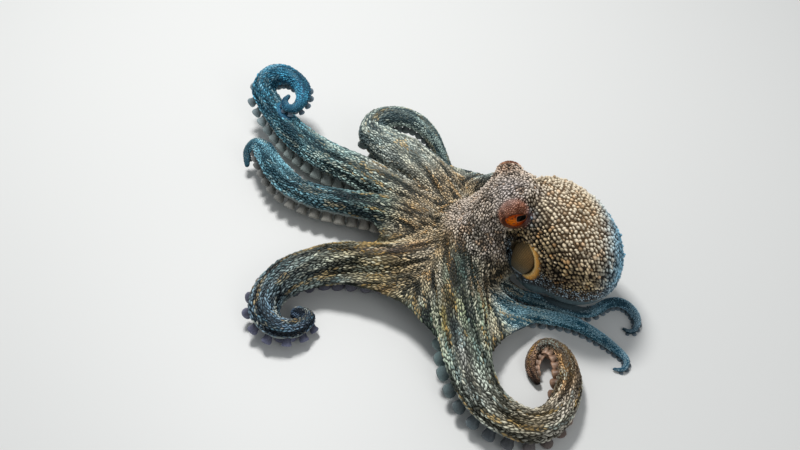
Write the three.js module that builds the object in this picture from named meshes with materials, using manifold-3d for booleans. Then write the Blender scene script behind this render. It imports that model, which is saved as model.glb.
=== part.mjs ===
// A common octopus at life size, crawling with its arms spread and its mantle slumped behind the head.
// Millimetres, +Z up, +X from the arms towards the mantle. The animal's left side faces -Y.
// While modelling, the origin is the floor below the mouth. The finished group is centred on its footprint.
import * as THREE from "three";
import { mergeVertices } from "three/addons/utils/BufferGeometryUtils.js";
import Module from "manifold-3d";

const wasm = await Module();
wasm.setup();

// Driving dimensions
const GAP = 0.3; // thin cut between neighbouring pieces
const ARM_SIDES = 8; // corners of an arm's section
const ARM_STEP = 19; // longest step along an arm
const ARM_TOP = 0.92; // height of an arm above its axis, in radii
const ARM_SOLE = 0.7; // depth of an arm below its axis, in radii
const SOLE_FLATNESS = 0.6; // power that squares off the sole, 1 for a round one
const ROLL_LIFT = 0.75; // how far a rolled arm rides up on its suckers, in radii
const THIN_ARM_STEP = 1.3; // ring spacing on a thin arm, in radii
const TIP_REACH = 0.8; // length of an arm's rounded end, in radii
const TIP_TAPER = 0.45; // share by which that end narrows
const SUCKER_WIDTH = 2.15; // rim diameter of a sucker on an arm of 1 mm radius
const SUCKER_TAPER = 0.65; // power by which that width grows with the arm's radius
const SUCKER_DEPTH = 1.08; // sucker rim below the arm's axis, in radii
const SUCKER_ROOT = 0.45; // where a sucker starts, in radii below the axis
const SUCKER_SPREAD = 0.46; // sucker row's distance from the arm's midline, in radii
const SUCKER_PITCH = 1.12; // spacing along a row, in sucker diameters
const SUCKER_STEM = 0.34; // half width of a sucker where it leaves the arm, in sucker diameters
const SMALLEST_SUCKER = 13.2; // smaller ones are too fine for the solids
const SUCKER_MARGIN = 0.6; // from a sucker's middle to the end of its length of arm, in diameters
const FIRST_SUCKER = 0.28; // share of the arm before the first sucker
const SUCKER_SIDES = 5;
const WEB_ROOT = 14; // web thickness at the crown
const WEB_EDGE = 3; // web thickness at its free edge
const WEB_STEPS = { across: 6, outwards: 4 };
const WEB_SPAN = 40; // typical width between two arms, by which a grown web is widened
const WEB_RISE = [0.5, 0.05]; // web's middle above the arm axes, crown and free edge, in arm radii
const EYE_RADIUS = 13;
const FLOOR_BLOCK = [1200, 1200, 60];

const COLOURS = {
  mantle: 0x8a7658,
  head: 0x8d8068,
  eye: 0xb4501c,
  siphon: 0x9a7a45,
  web: 0x7c7248,
  arm: 0x5f7468,
};

// Each arm: its radii and its roll in degrees at even steps from root to tip, the number of lengths, and
// the route of its axis as [x, y, lift above a resting arm]. A positive roll shows the suckers on the left.
const ARMS = {
  l1: {
    radii: [17, 18, 17.5, 17, 16, 14.5, 11.5, 3], roll: [0, 10, 30, 35, 25, 10], lengths: 3,
    route: [[-20, 0, 18], [-57, 28, 12], [-87, 42, 7], [-118, 52, 3], [-146, 61, 3], [-171, 74, 5],
      [-187, 91, 9], [-199, 110, 14], [-208, 127, 20], [-217, 137, 22], [-226, 135, 17], [-227, 124, 9]],
  },
  l2: {
    radii: [21, 21.5, 21.5, 21, 19.5, 16, 12, 8], roll: [0, 0, -15, -35, -35, -20], lengths: 3,
    route: [[-15, -30, 14], [-62, -34, 8], [-91, -32, 4], [-120, -31, 2], [-149, -37, 0], [-172, -50, 0],
      [-186, -68, 0], [-187, -89, 0], [-174, -103, 0], [-157, -101, 0], [-149, -88, 0], [-159, -80, 0]],
  },
  l3: {
    radii: [23, 24, 23, 19, 15.5, 12.5, 9, 4], roll: [0, -15, -30, -20, 10, 30, 20], lengths: 4,
    route: [[-6, -40, 18], [-7, -76, 13], [-6, -102, 7], [-4, -132, 2], [0, -162, 0], [10, -187, 0],
      [27, -204, 0], [48, -210, 0], [70, -198, 0], [84, -172, 0], [87, -147, 0], [81, -127, 0],
      [70, -119, 0], [59, -128, 0], [55, -142, 0], [60, -156, 0]],
  },
  l4: {
    radii: [13, 11, 9, 8, 7, 6, 4.4, 2], roll: [0, 0], lengths: 3,
    route: [[10, -48, 12], [24, -66, 8], [43, -78, 3], [64, -82, 1], [88, -86, 0], [105, -93, 0],
      [122, -106, 0], [135, -119, 0], [143, -131, 0], [139, -140, 0], [130, -139, 0]],
  },
  r4: {
    radii: [10, 8.4, 7.4, 6.7, 6, 5.6, 4.8, 2], roll: [0, 0], lengths: 3,
    route: [[20, -18, 8], [38, -45, 3], [58, -58, 0], [80, -65, 0], [98, -72, 0], [112, -76, 0],
      [123, -73, 0], [134, -65, 0], [147, -63, 0], [157, -72, 0], [160, -87, 0], [153, -97, 0],
      [146, -92, 0]],
  },
  r3: {
    radii: [17, 18, 15, 12, 10, 7.5, 5, 2.2], roll: [0, 0], lengths: 3,
    route: [[8, 25, 22], [20, 52, 18], [36, 79, 9], [57, 92, 2], [81, 90, 0], [106, 83, 0], [129, 67, 0],
      [140, 44, 0], [134, 24, 0], [121, 18, 0], [113, 28, 0]],
  },
  r2: {
    radii: [18, 22, 23, 18, 13, 9, 6, 2.4], roll: [0, 0], lengths: 3,
    route: [[-8, 32, 22], [-27, 69, 20], [-49, 101, 16], [-75, 128, 18], [-91, 146, 24], [-85, 160, 31],
      [-66, 165, 35], [-45, 160, 34], [-29, 150, 26], [-19, 139, 13], [-10, 124, 2], [2, 110, 0],
      [13, 110, 0], [15, 120, 0], [7, 124, 0]],
  },
  r1: {
    radii: [17, 19.5, 20, 19, 17, 13.5, 9.5, 3], roll: [0, 5, 25, 35, 25, 0], lengths: 4,
    route: [[-20, 22, 18], [-64, 60, 12], [-99, 92, 6], [-137, 121, 1], [-165, 148, 0], [-189, 177, 4],
      [-207, 202, 14], [-215, 218, 26], [-208, 229, 36], [-194, 229, 42], [-180, 220, 44], [-170, 206, 43],
      [-169, 190, 42], [-177, 179, 40], [-186, 182, 41], [-189, 193, 43], [-185, 202, 44]],
  },
};

// Each web: its two arms, how far it reaches along each, and how far its edge is drawn in between them
const WEBS = [
  { between: ["l1", "l2"], reach: [112, 108], drawnIn: 0.34 },
  { between: ["l2", "l3"], reach: [162, 124], drawnIn: 0.28 },
  { between: ["l3", "l4"], reach: [142, 78], drawnIn: 0.16 },
  { between: ["r3", "r2"], reach: [98, 112], drawnIn: 0.12 },
];

// The crown and head as a stack of level ovals: [height, centre x, centre y, half length, half width]
const HEAD_OVALS = [
  [10, -2, -8, 42, 40], [18, -2, -8, 57, 53], [29, -1, -8, 62, 58], [42, 5, -9, 55, 51],
  [56, 15, -10, 43, 40], [72, 28, -10, 33, 31], [88, 38, -10, 29, 29], [101, 43, -10, 25, 27],
  [111, 45, -10, 17, 20], [115, 45, -10, 9, 11],
];
const HEAD_SIDES = 14;
const NECK = { from: [40, -10, 84], to: [64, -12, 78], radius: 28 };
const EYES = {
  left: { centre: [41, -35, 97], outward: [0.02, -0.88, 0.47] },
  right: { centre: [41, 15, 97], outward: [0.02, 0.88, 0.47] },
};
const EYE_MOUND = { radius: 18.5, inset: 8.5 };
const MOUTH = { centre: [-2, -8, 4], radius: 12 };

// The mantle's egg: its axis runs from inside the neck to the rounded rear end.
const MANTLE = {
  front: [58, 19, 82], rear: [123, -88, 40], halfWidth: 47.5, halfHeight: 48.5, rings: 9, sides: 14,
  span: [0.1, 0.96], // the part of the egg's half turn that its rings cover
  fullness: [0.96, 1.04], // width at the front and at the rear, against a plain egg
};
const MANTLE_EDGE = { centre: [70, -50, 44], radius: 28 }; // its full lower edge, under the opening
// The opening at the front edge of the mantle, with its rolled lip, and the siphon that stands in it
const OPENING = { centre: [51, -57, 62], facing: [-0.72, -0.62, 0.3], radius: 15.5, lip: 3 };
const SIPHON = {
  root: [61, -51, 67], mouth: [45, -62, 49], rootRadius: 12, mouthRadius: 7.5, bore: 5, boreDepth: 12,
  rim: 1.3,
};

const vector = (p) => new THREE.Vector3(...p);
const mix = THREE.MathUtils.lerp;
const turnTo = (way) => new THREE.Quaternion().setFromUnitVectors(new THREE.Vector3(0, 1, 0), way);

// A closed skin over a row of rings with the same number of points. Each end is closed by a fan.
function skinOver(rings) {
  const count = rings[0].length;
  const points = rings.flat();
  const triangles = [];
  for (let ring = 0; ring < rings.length - 1; ring++) {
    for (let k = 0; k < count; k++) {
      const a = ring * count + k;
      const b = ring * count + ((k + 1) % count);
      triangles.push(a, b, a + count, b, b + count, a + count);
    }
  }
  const closeEnd = (first, flip) => {
    const middle = new THREE.Vector3();
    for (let k = 0; k < count; k++) middle.addScaledVector(points[first + k], 1 / count);
    points.push(middle);
    for (let k = 0; k < count; k++) {
      const edge = [first + k, first + ((k + 1) % count)];
      triangles.push(...(flip ? edge.reverse() : edge), points.length - 1);
    }
  };
  closeEnd(0, true);
  closeEnd((rings.length - 1) * count, false);
  const geometry = new THREE.BufferGeometry().setFromPoints(points);
  geometry.setIndex(triangles);
  return geometry;
}

// three.js geometry to a manifold-3d solid and back. A geometry that is inside out is turned round.
function solidOf(geometry) {
  const bare = geometry.clone();
  bare.deleteAttribute("normal");
  bare.deleteAttribute("uv");
  const merged = mergeVertices(bare, 1e-3);
  const triVerts = new Uint32Array(merged.index.array);
  const vertProperties = merged.attributes.position.array;
  const made = new wasm.Manifold(new wasm.Mesh({ numProp: 3, vertProperties, triVerts }));
  if (made.volume() > 0) return made;
  for (let i = 0; i < triVerts.length; i += 3) {
    [triVerts[i + 1], triVerts[i + 2]] = [triVerts[i + 2], triVerts[i + 1]];
  }
  return new wasm.Manifold(new wasm.Mesh({ numProp: 3, vertProperties, triVerts }));
}

function geometryOf(solid) {
  const { vertProperties, triVerts } = solid.getMesh();
  const geometry = new THREE.BufferGeometry();
  geometry.setAttribute("position", new THREE.BufferAttribute(new Float32Array(vertProperties), 3));
  geometry.setIndex(new THREE.BufferAttribute(triVerts, 1));
  return geometry;
}

const largestBody = (solid) => solid.decompose().reduce((a, b) => (a.volume() > b.volume() ? a : b));

// The half space below the floor: what sinks into it is trimmed to small flats at one level.
const underFloor = solidOf(new THREE.BoxGeometry(...FLOOR_BLOCK).translate(0, 0, -FLOOR_BLOCK[2] / 2));

// An even row of values, read off between its entries at share t
function along(values, t) {
  const place = THREE.MathUtils.clamp(t, 0, 1) * (values.length - 1);
  const k = Math.min(Math.floor(place), values.length - 2);
  return mix(values[k], values[k + 1], place - k);
}

// An arm as functions of the share t of its length: its radius, axis point and frame
function armLine({ radii, route, roll }) {
  const curve = new THREE.CatmullRomCurve3(route.map(vector), false, "centripetal");
  curve.arcLengthDivisions = 400;
  const radiusAt = (t) => along(radii, t);
  const rollAt = (t) => THREE.MathUtils.degToRad(along(roll, t));
  const axisAt = (t) => {
    const p = curve.getPointAt(THREE.MathUtils.clamp(t, 0, 1));
    p.z += radiusAt(t) * (Math.cos(rollAt(t)) + ROLL_LIFT * Math.abs(Math.sin(rollAt(t))));
    return p;
  };
  const frameAt = (t) => {
    const forward = axisAt(Math.min(t + 0.01, 1)).sub(axisAt(Math.max(t - 0.01, 0))).normalize();
    const side = new THREE.Vector3().crossVectors(forward, new THREE.Vector3(0, 0, 1)).normalize();
    side.applyAxisAngle(forward, rollAt(t));
    const up = new THREE.Vector3().crossVectors(side, forward);
    return { forward, side, up };
  };
  return { length: curve.getLength(), radiusAt, axisAt, frameAt };
}

// One ring of an arm: round above, flattened towards the sole where the suckers sit
function armRing(line, t, grow) {
  const { side, up } = line.frameAt(t);
  const radius = line.radiusAt(t) + grow;
  return Array.from({ length: ARM_SIDES }, (_, k) => {
    const angle = ((k + 0.5) / ARM_SIDES) * 2 * Math.PI;
    const rise = Math.sin(angle);
    const height = rise > 0 ? ARM_TOP * rise : -ARM_SOLE * Math.abs(rise) ** SOLE_FLATNESS;
    const out = side.clone().multiplyScalar(radius * Math.cos(angle));
    return line.axisAt(t).add(out).addScaledVector(up, radius * height);
  });
}

// The stretch of an arm from one share of its length to another. The last stretch has a rounded end.
function armStretch(line, from, to, grow = 0) {
  const step = Math.min(ARM_STEP, THIN_ARM_STEP * line.radiusAt((from + to) / 2) + 2);
  const steps = Math.ceil(((to - from) * line.length) / step);
  const rings = [];
  for (let k = 0; k <= steps; k++) rings.push(armRing(line, mix(from, to, k / steps), grow));
  if (to === 1) {
    const { forward } = line.frameAt(1);
    const end = line.axisAt(1);
    const reach = TIP_REACH * line.radiusAt(1);
    const cap = rings.at(-1).map((p) => p.clone().lerp(end, TIP_TAPER).addScaledVector(forward, reach));
    rings.push(cap);
  }
  return solidOf(skinOver(rings));
}

// The larger suckers of a stretch, in two staggered rows: cups that widen towards a flat rim
function suckersOn(line, from, to, grow = 0) {
  const cups = [];
  let travelled = FIRST_SUCKER * line.length;
  for (let index = 0; travelled < to * line.length; index++) {
    const t = travelled / line.length;
    const radius = line.radiusAt(t);
    const width = SUCKER_WIDTH * radius ** SUCKER_TAPER;
    if (width < SMALLEST_SUCKER) break;
    travelled += (SUCKER_PITCH * width) / 2;
    const margin = (SUCKER_MARGIN * width) / line.length;
    if (t - margin < from || t + margin > to) continue;
    const { side, up } = line.frameAt(t);
    const row = index % 2 ? 1 : -1;
    const centre = line.axisAt(t).addScaledVector(side, row * SUCKER_SPREAD * radius);
    centre.addScaledVector(up, (-(SUCKER_ROOT + SUCKER_DEPTH) / 2) * radius);
    const height = (SUCKER_DEPTH - SUCKER_ROOT) * radius + 2 * grow;
    const stem = SUCKER_STEM * width + grow;
    const cup = new THREE.CylinderGeometry(stem, width / 2 + grow, height, SUCKER_SIDES);
    cup.applyMatrix4(new THREE.Matrix4().makeBasis(side, up, side.clone().cross(up)).setPosition(centre));
    cups.push(solidOf(cup));
  }
  return cups;
}

// A web: a sheet ruled between two arm axes, thinning from the crown to its free edge
function webPanel(first, second, reach, drawnIn, grow = 0) {
  const sheet = (side) =>
    Array.from({ length: WEB_STEPS.outwards + 1 }, (_, i) => {
      const out = i / WEB_STEPS.outwards;
      const half = (mix(WEB_ROOT, WEB_EDGE, out) / 2 + grow) * side;
      return Array.from({ length: WEB_STEPS.across + 1 }, (_, j) => {
        const share = mix(-grow / WEB_SPAN, 1 + grow / WEB_SPAN, j / WEB_STEPS.across);
        const distance = out * (1 - drawnIn * Math.sin(Math.PI * share));
        const tA = (distance * reach[0]) / first.length;
        const tB = (distance * reach[1]) / second.length;
        const a = first.axisAt(tA);
        const b = second.axisAt(tB);
        a.z += along(WEB_RISE, out) * first.radiusAt(tA);
        b.z += along(WEB_RISE, out) * second.radiusAt(tB);
        const p = a.lerp(b, share);
        p.z += half;
        return p;
      });
    });
  const top = sheet(1);
  const bottom = sheet(-1);
  const rings = top.map((row, i) => [...row, ...bottom[i].toReversed()]);
  return solidOf(skinOver(rings));
}

// The head and crown with the neck and the two mounds that carry the eyes
function headBody(grow) {
  const rings = HEAD_OVALS.map(([z, x, y, halfLength, halfWidth]) =>
    Array.from({ length: HEAD_SIDES }, (_, k) => {
      const angle = (k / HEAD_SIDES) * 2 * Math.PI;
      const at = [x + (halfLength + grow) * Math.cos(angle), y + (halfWidth + grow) * Math.sin(angle), z];
      return vector(at);
    }));
  let body = solidOf(skinOver(rings));
  const neckLine = new THREE.LineCurve3(vector(NECK.from), vector(NECK.to));
  const neck = new THREE.CylinderGeometry(NECK.radius + grow, NECK.radius + grow, neckLine.getLength(), 10);
  neck.applyQuaternion(turnTo(neckLine.getTangent(0)));
  neck.translate(...neckLine.getPoint(0.5).toArray());
  body = body.add(solidOf(neck));
  for (const { centre, outward } of Object.values(EYES)) {
    const mound = new THREE.SphereGeometry(EYE_MOUND.radius + grow, 10, 7);
    const middle = vector(centre).addScaledVector(vector(outward), -EYE_MOUND.inset);
    body = body.add(solidOf(mound.translate(...middle.toArray())));
  }
  return body;
}

// An egg, fullest behind its middle, with a ball that fills out its lower front edge
function mantleBody(grow) {
  const front = vector(MANTLE.front);
  const axis = vector(MANTLE.rear).sub(front);
  const forward = axis.clone().normalize();
  const side = new THREE.Vector3().crossVectors(forward, new THREE.Vector3(0, 0, 1)).normalize();
  const up = new THREE.Vector3().crossVectors(side, forward);
  const rings = Array.from({ length: MANTLE.rings + 1 }, (_, i) => {
    const turn = mix(...MANTLE.span, i / MANTLE.rings) * Math.PI;
    const share = 0.5 - 0.5 * Math.cos(turn);
    const fullness = Math.sin(turn) * mix(...MANTLE.fullness, share);
    return Array.from({ length: MANTLE.sides }, (_, k) => {
      const angle = (k / MANTLE.sides) * 2 * Math.PI;
      return front.clone().addScaledVector(axis, share)
        .addScaledVector(side, (MANTLE.halfWidth * fullness + grow) * Math.cos(angle))
        .addScaledVector(up, (MANTLE.halfHeight * fullness + grow) * Math.sin(angle));
    });
  });
  const edge = new THREE.SphereGeometry(MANTLE_EDGE.radius + grow, 11, 7).translate(...MANTLE_EDGE.centre);
  return solidOf(skinOver(rings)).add(solidOf(edge));
}

// The mantle with a bowl sunk in its front left side and a lip rolled round the bowl's rear half
function openMantle(grow) {
  const facing = vector(OPENING.facing).normalize();
  const centre = vector(OPENING.centre);
  const bowl = new THREE.SphereGeometry(OPENING.radius - grow, 10, 6).translate(...centre.toArray());
  const ring = new THREE.TorusGeometry(OPENING.radius, OPENING.lip + grow, 5, 14);
  ring.applyQuaternion(new THREE.Quaternion().setFromUnitVectors(new THREE.Vector3(0, 0, 1), facing));
  const lip = solidOf(ring.translate(...centre.toArray())).intersect(mantleBody(OPENING.lip + grow));
  return mantleBody(grow).subtract(solidOf(bowl)).add(lip);
}

// The siphon: a short tapered tube, open at its mouth
function siphonBody() {
  const root = vector(SIPHON.root);
  const mouth = vector(SIPHON.mouth);
  const length = root.distanceTo(mouth);
  const { rootRadius, mouthRadius, bore, boreDepth, rim } = SIPHON;
  const profile = [[0, 0], [rootRadius, 0], [mix(rootRadius, mouthRadius, 0.7), 0.6 * length],
    [mouthRadius, length - rim], [mouthRadius - rim, length], [bore, length],
    [0.7 * bore, length - boreDepth], [0, length - boreDepth]];
  const tube = new THREE.LatheGeometry(profile.map(([x, y]) => new THREE.Vector2(x, y)), 10);
  tube.applyQuaternion(turnTo(mouth.sub(root).normalize()));
  return solidOf(tube.translate(...root.toArray()));
}

const octopus = new THREE.Group();

function addPiece(name, solid, colour, roughness = 0.5) {
  const material = new THREE.MeshStandardMaterial({ color: colour, roughness, metalness: 0 });
  const mesh = new THREE.Mesh(geometryOf(solid), material);
  mesh.name = name;
  octopus.add(mesh);
}

// Body: each piece is cut clear of the ones made before it
const mouth = new THREE.SphereGeometry(MOUTH.radius, 10, 7).translate(...MOUTH.centre);
let head = headBody(0).subtract(underFloor).subtract(solidOf(mouth));
for (const [side, { centre }] of Object.entries(EYES)) {
  const ball = (radius) => solidOf(new THREE.SphereGeometry(radius, 11, 8).translate(...centre));
  head = head.subtract(ball(EYE_RADIUS + GAP));
  addPiece(`eye_${side}`, ball(EYE_RADIUS), COLOURS.eye, 0.15);
}
const grownHead = headBody(GAP);
const grownMantle = openMantle(GAP);
addPiece("head", largestBody(head), COLOURS.head);
addPiece("mantle", largestBody(openMantle(0).subtract(grownHead).subtract(underFloor)), COLOURS.mantle);
addPiece("siphon", largestBody(siphonBody().subtract(grownHead).subtract(grownMantle)), COLOURS.siphon);

// Arms, in lengths named from the crown outwards
const lines = Object.fromEntries(Object.entries(ARMS).map(([name, arm]) => [name, armLine(arm)]));
const grownArms = [];
for (const [name, line] of Object.entries(lines)) {
  const { lengths } = ARMS[name];
  const labels = lengths === 4 ? ["base", "middle", "end", "tip"] : ["base", "middle", "tip"];
  const grownStretches = [];
  labels.forEach((label, k) => {
    const from = k / lengths;
    const to = k === lengths - 1 ? 1 : (k + 1) / lengths - GAP / line.length;
    let stretch = armStretch(line, from, to);
    for (const cup of suckersOn(line, from, to)) stretch = stretch.add(cup);
    if (k < 2) {
      stretch = stretch.subtract(grownHead);
      for (const neighbour of grownArms) stretch = stretch.subtract(neighbour);
      grownStretches.push(armStretch(line, from, to, GAP), ...suckersOn(line, from, to, GAP));
    }
    addPiece(`arm_${name}_${label}`, largestBody(stretch.subtract(underFloor)), COLOURS.arm);
  });
  grownArms.push(...grownStretches);
}

// Webs fill what the head and arms leave between them
let taken = grownHead.add(grownMantle);
for (const arm of grownArms) taken = taken.add(arm);
for (const { between, reach, drawnIn } of WEBS) {
  const [first, second] = between;
  const panel = webPanel(lines[first], lines[second], reach, drawnIn).subtract(taken);
  addPiece(`web_${first}_${second}`, largestBody(panel.subtract(underFloor)), COLOURS.web);
  taken = taken.add(webPanel(lines[first], lines[second], reach, drawnIn, GAP));
}

// Centre the footprint on the origin
const box = new THREE.Box3().setFromObject(octopus);
const middle = box.getCenter(new THREE.Vector3());
octopus.position.set(-middle.x, -middle.y, -box.min.z);

export default octopus;
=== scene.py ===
import math
import bpy
import numpy as np
from mathutils import Matrix, Vector
from mathutils.bvhtree import BVHTree
from mathutils.geometry import barycentric_transform


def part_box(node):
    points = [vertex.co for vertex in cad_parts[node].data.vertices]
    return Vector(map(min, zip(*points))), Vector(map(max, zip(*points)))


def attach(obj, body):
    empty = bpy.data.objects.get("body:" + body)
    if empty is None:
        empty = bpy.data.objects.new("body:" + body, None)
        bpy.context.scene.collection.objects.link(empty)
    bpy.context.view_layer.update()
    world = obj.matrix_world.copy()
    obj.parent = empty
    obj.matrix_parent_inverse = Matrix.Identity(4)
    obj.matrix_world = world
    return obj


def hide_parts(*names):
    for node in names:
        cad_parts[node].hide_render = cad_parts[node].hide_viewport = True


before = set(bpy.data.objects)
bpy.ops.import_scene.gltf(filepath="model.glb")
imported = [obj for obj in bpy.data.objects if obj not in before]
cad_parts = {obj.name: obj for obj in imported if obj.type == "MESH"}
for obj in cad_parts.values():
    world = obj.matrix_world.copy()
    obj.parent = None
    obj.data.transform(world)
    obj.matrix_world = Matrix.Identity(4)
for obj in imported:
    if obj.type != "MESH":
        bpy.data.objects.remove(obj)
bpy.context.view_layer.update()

mm = 0.001
scene = bpy.context.scene
bpy.ops.object.select_all(action="DESELECT")

# Sizes below are millimetres from the floor under the mouth, +X towards the mantle, +Z up.
eyes = {
    "radius": 13,
    "left": {"centre": (41, -35, 97), "outward": (0.02, -0.88, 0.47), "lidFrom": 0},
    "right": {"centre": (41, 15, 97), "outward": (0.02, 0.88, 0.47), "lidFrom": 6.5},
}


def eyeBoxCentre(side):
    low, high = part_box("eye_" + side)
    return Vector((low.x + eyes["radius"] * mm, (low.y + high.y) / 2, (low.z + high.z) / 2))


mouthPlace = eyeBoxCentre("left") - Vector(eyes["left"]["centre"]) * mm
mouthPlace.z = 0


def place(point):  # millimetres from the mouth to metres in the frame
    return np.asarray(point, float) * mm + np.array(mouthPlace)


cameraSpot = {"place": (-62, -683.77, 730.44), "tip": 45, "lens": 45}
bpy.ops.object.camera_add(
    location=place(cameraSpot["place"]), rotation=(math.radians(cameraSpot["tip"]), 0, 0))
camera = bpy.context.object
camera.data.lens = cameraSpot["lens"]
scene.camera = camera
print("camera set")


def selectOnly(piece):
    bpy.ops.object.select_all(action="DESELECT")
    piece.select_set(True)
    bpy.context.view_layer.objects.active = piece


def joinInto(target, pieces):
    selectOnly(target)
    for piece in pieces:
        piece.select_set(True)
    bpy.ops.object.join()
    return target


def finishShape(piece):  # puts the place and turn into the mesh
    selectOnly(piece)
    bpy.ops.object.transform_apply(location=True, rotation=True, scale=True)
    return piece


def faceOutwards(piece):
    selectOnly(piece)
    bpy.ops.object.mode_set(mode="EDIT")
    bpy.ops.mesh.select_all(action="SELECT")
    bpy.ops.mesh.normals_make_consistent(inside=False)
    bpy.ops.object.mode_set(mode="OBJECT")


def smoothFaces(piece):
    piece.data.polygons.foreach_set("use_smooth", np.ones(len(piece.data.polygons), bool))


def applyModifier(piece, kind, **settings):
    selectOnly(piece)
    modifier = piece.modifiers.new(kind.lower(), kind)
    for name, value in settings.items():
        setattr(modifier, name, value)
    bpy.ops.object.modifier_apply(modifier=modifier.name)


def vertexPlaces(mesh):
    places = np.empty(len(mesh.vertices) * 3, np.float32)
    mesh.vertices.foreach_get("co", places)
    return places.reshape(-1, 3).astype(float)


def setVertexPlaces(mesh, places):
    mesh.vertices.foreach_set("co", np.asarray(places, np.float32).ravel())
    mesh.update()


def vertexNormals(mesh):
    normals = np.empty(len(mesh.vertices) * 3, np.float32)
    mesh.vertex_normals.foreach_get("vector", normals)
    return normals.reshape(-1, 3).astype(float)


def unit(vectors):
    return vectors / np.maximum(np.linalg.norm(vectors, axis=-1, keepdims=True), 1e-12)


def smoothStep(low, high, values):
    share = np.clip((values - low) / (high - low), 0, 1)
    return share * share * (3 - 2 * share)


def softNoise(points, seed):  # smooth random values, mostly between -1 and 1
    corner = np.floor(points).astype(np.int64)
    share = points - corner
    share = share * share * (3 - 2 * share)
    total = np.zeros(len(points))
    for i, j, k in ((i, j, k) for i in (0, 1) for j in (0, 1) for k in (0, 1)):
        mixed = (corner[:, 0] + i) * 73856093 ^ (corner[:, 1] + j) * 19349663 ^ (corner[:, 2] + k) * 83492791
        value = np.sin((mixed + seed * 7919) % 65521 * 12.9898) * 43758.5453 % 2 - 1
        across = np.abs(1 - i - share[:, 0]) * np.abs(1 - j - share[:, 1]) * np.abs(1 - k - share[:, 2])
        total += value * across
    return 1.5 * total


def patchNoise(places, size, seed):  # patches about a size in millimetres across
    return softNoise(places / (size * mm), seed)


armShape = {
    "top": 0.92,  # height above the axis, in radii
    "sole": 0.7,  # depth below the axis, in radii
    "flatness": 0.6,
    "rollLift": 0.75,
    "sides": 24,
    "step": 2.6,
    "bare": 0.975,  # the skin's radius under its grains, as a share of the arm's radius
    "coat": 0.6,
    "slimmest": 1.2,
    "cap": (0.55, 0.6),  # width and reach of the rounded end, as shares of the last ring's radius
}
# Radii and roll in degrees at even steps from root to tip, then the route as x, y, lift above a resting arm
arms = {
    "l1": {
        "radii": [17, 18, 17.5, 17, 16, 14.5, 11.5, 3], "roll": [0, 10, 30, 35, 25, 10],
        "route": [(-20, 0, 18), (-57, 28, 12), (-87, 42, 7), (-118, 52, 3), (-146, 61, 3), (-171, 74, 5),
                  (-187, 91, 9), (-199, 110, 14), (-208, 127, 20), (-217, 137, 22), (-226, 135, 17),
                  (-227, 124, 9)]},
    "l2": {
        "radii": [21, 21.5, 21.5, 21, 19.5, 16, 12, 8], "roll": [0, 0, -15, -35, -35, -20],
        "route": [(-15, -30, 14), (-62, -34, 8), (-91, -32, 4), (-120, -31, 2), (-149, -37, 0),
                  (-172, -50, 0), (-186, -68, 0), (-187, -89, 0), (-174, -103, 0), (-157, -101, 0),
                  (-149, -88, 0), (-159, -80, 0)]},
    "l3": {
        "radii": [23, 24, 23, 19, 15.5, 12.5, 9, 4], "roll": [0, -15, -30, -20, 10, 30, 20],
        "route": [(-6, -40, 18), (-7, -76, 13), (-6, -102, 7), (-4, -132, 2), (0, -162, 0), (10, -187, 0),
                  (27, -204, 0), (48, -210, 0), (70, -198, 0), (84, -172, 0), (87, -147, 0), (81, -127, 0),
                  (70, -119, 0), (59, -128, 0), (55, -142, 0), (60, -156, 0)]},
    "l4": {
        "radii": [13, 11, 9, 8, 7, 6, 4.4, 2], "roll": [0, 0],
        "route": [(10, -48, 12), (24, -66, 8), (43, -78, 3), (64, -82, 1), (88, -86, 0), (105, -93, 0),
                  (122, -106, 0), (135, -119, 0), (143, -131, 0), (139, -140, 0), (130, -139, 0)]},
    "r4": {
        "radii": [10, 8.4, 7.4, 6.7, 6, 5.6, 4.8, 2], "roll": [0, 0],
        "route": [(20, -18, 8), (38, -45, 3), (58, -58, 0), (80, -65, 0), (98, -72, 0), (112, -76, 0),
                  (123, -73, 0), (134, -65, 0), (147, -63, 0), (157, -72, 0), (160, -87, 0), (153, -97, 0),
                  (146, -92, 0)]},
    "r3": {
        "radii": [17, 18, 15, 12, 10, 7.5, 5, 2.2], "roll": [0, 0],
        "route": [(8, 25, 22), (20, 52, 18), (36, 79, 9), (57, 92, 2), (81, 90, 0), (106, 83, 0),
                  (129, 67, 0), (140, 44, 0), (134, 24, 0), (121, 18, 0), (113, 28, 0)]},
    "r2": {
        "radii": [18, 22, 23, 18, 13, 9, 6, 2.4], "roll": [0, 0],
        "route": [(-8, 32, 22), (-27, 69, 20), (-49, 101, 16), (-75, 128, 18), (-91, 146, 24),
                  (-85, 160, 31), (-66, 165, 35), (-45, 160, 34), (-29, 150, 26), (-19, 139, 13),
                  (-10, 124, 2), (2, 110, 0), (13, 110, 0), (15, 120, 0), (7, 124, 0)]},
    "r1": {
        "radii": [17, 19.5, 20, 19, 17, 13.5, 9.5, 3], "roll": [0, 5, 25, 35, 25, 0],
        "route": [(-20, 22, 18), (-64, 60, 12), (-99, 92, 6), (-137, 121, 1), (-165, 148, 0),
                  (-189, 177, 4), (-207, 202, 14), (-215, 218, 26), (-208, 229, 36), (-194, 229, 42),
                  (-180, 220, 44), (-170, 206, 43), (-169, 190, 42), (-177, 179, 40), (-186, 182, 41),
                  (-189, 193, 43), (-185, 202, 44)]},
}


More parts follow.
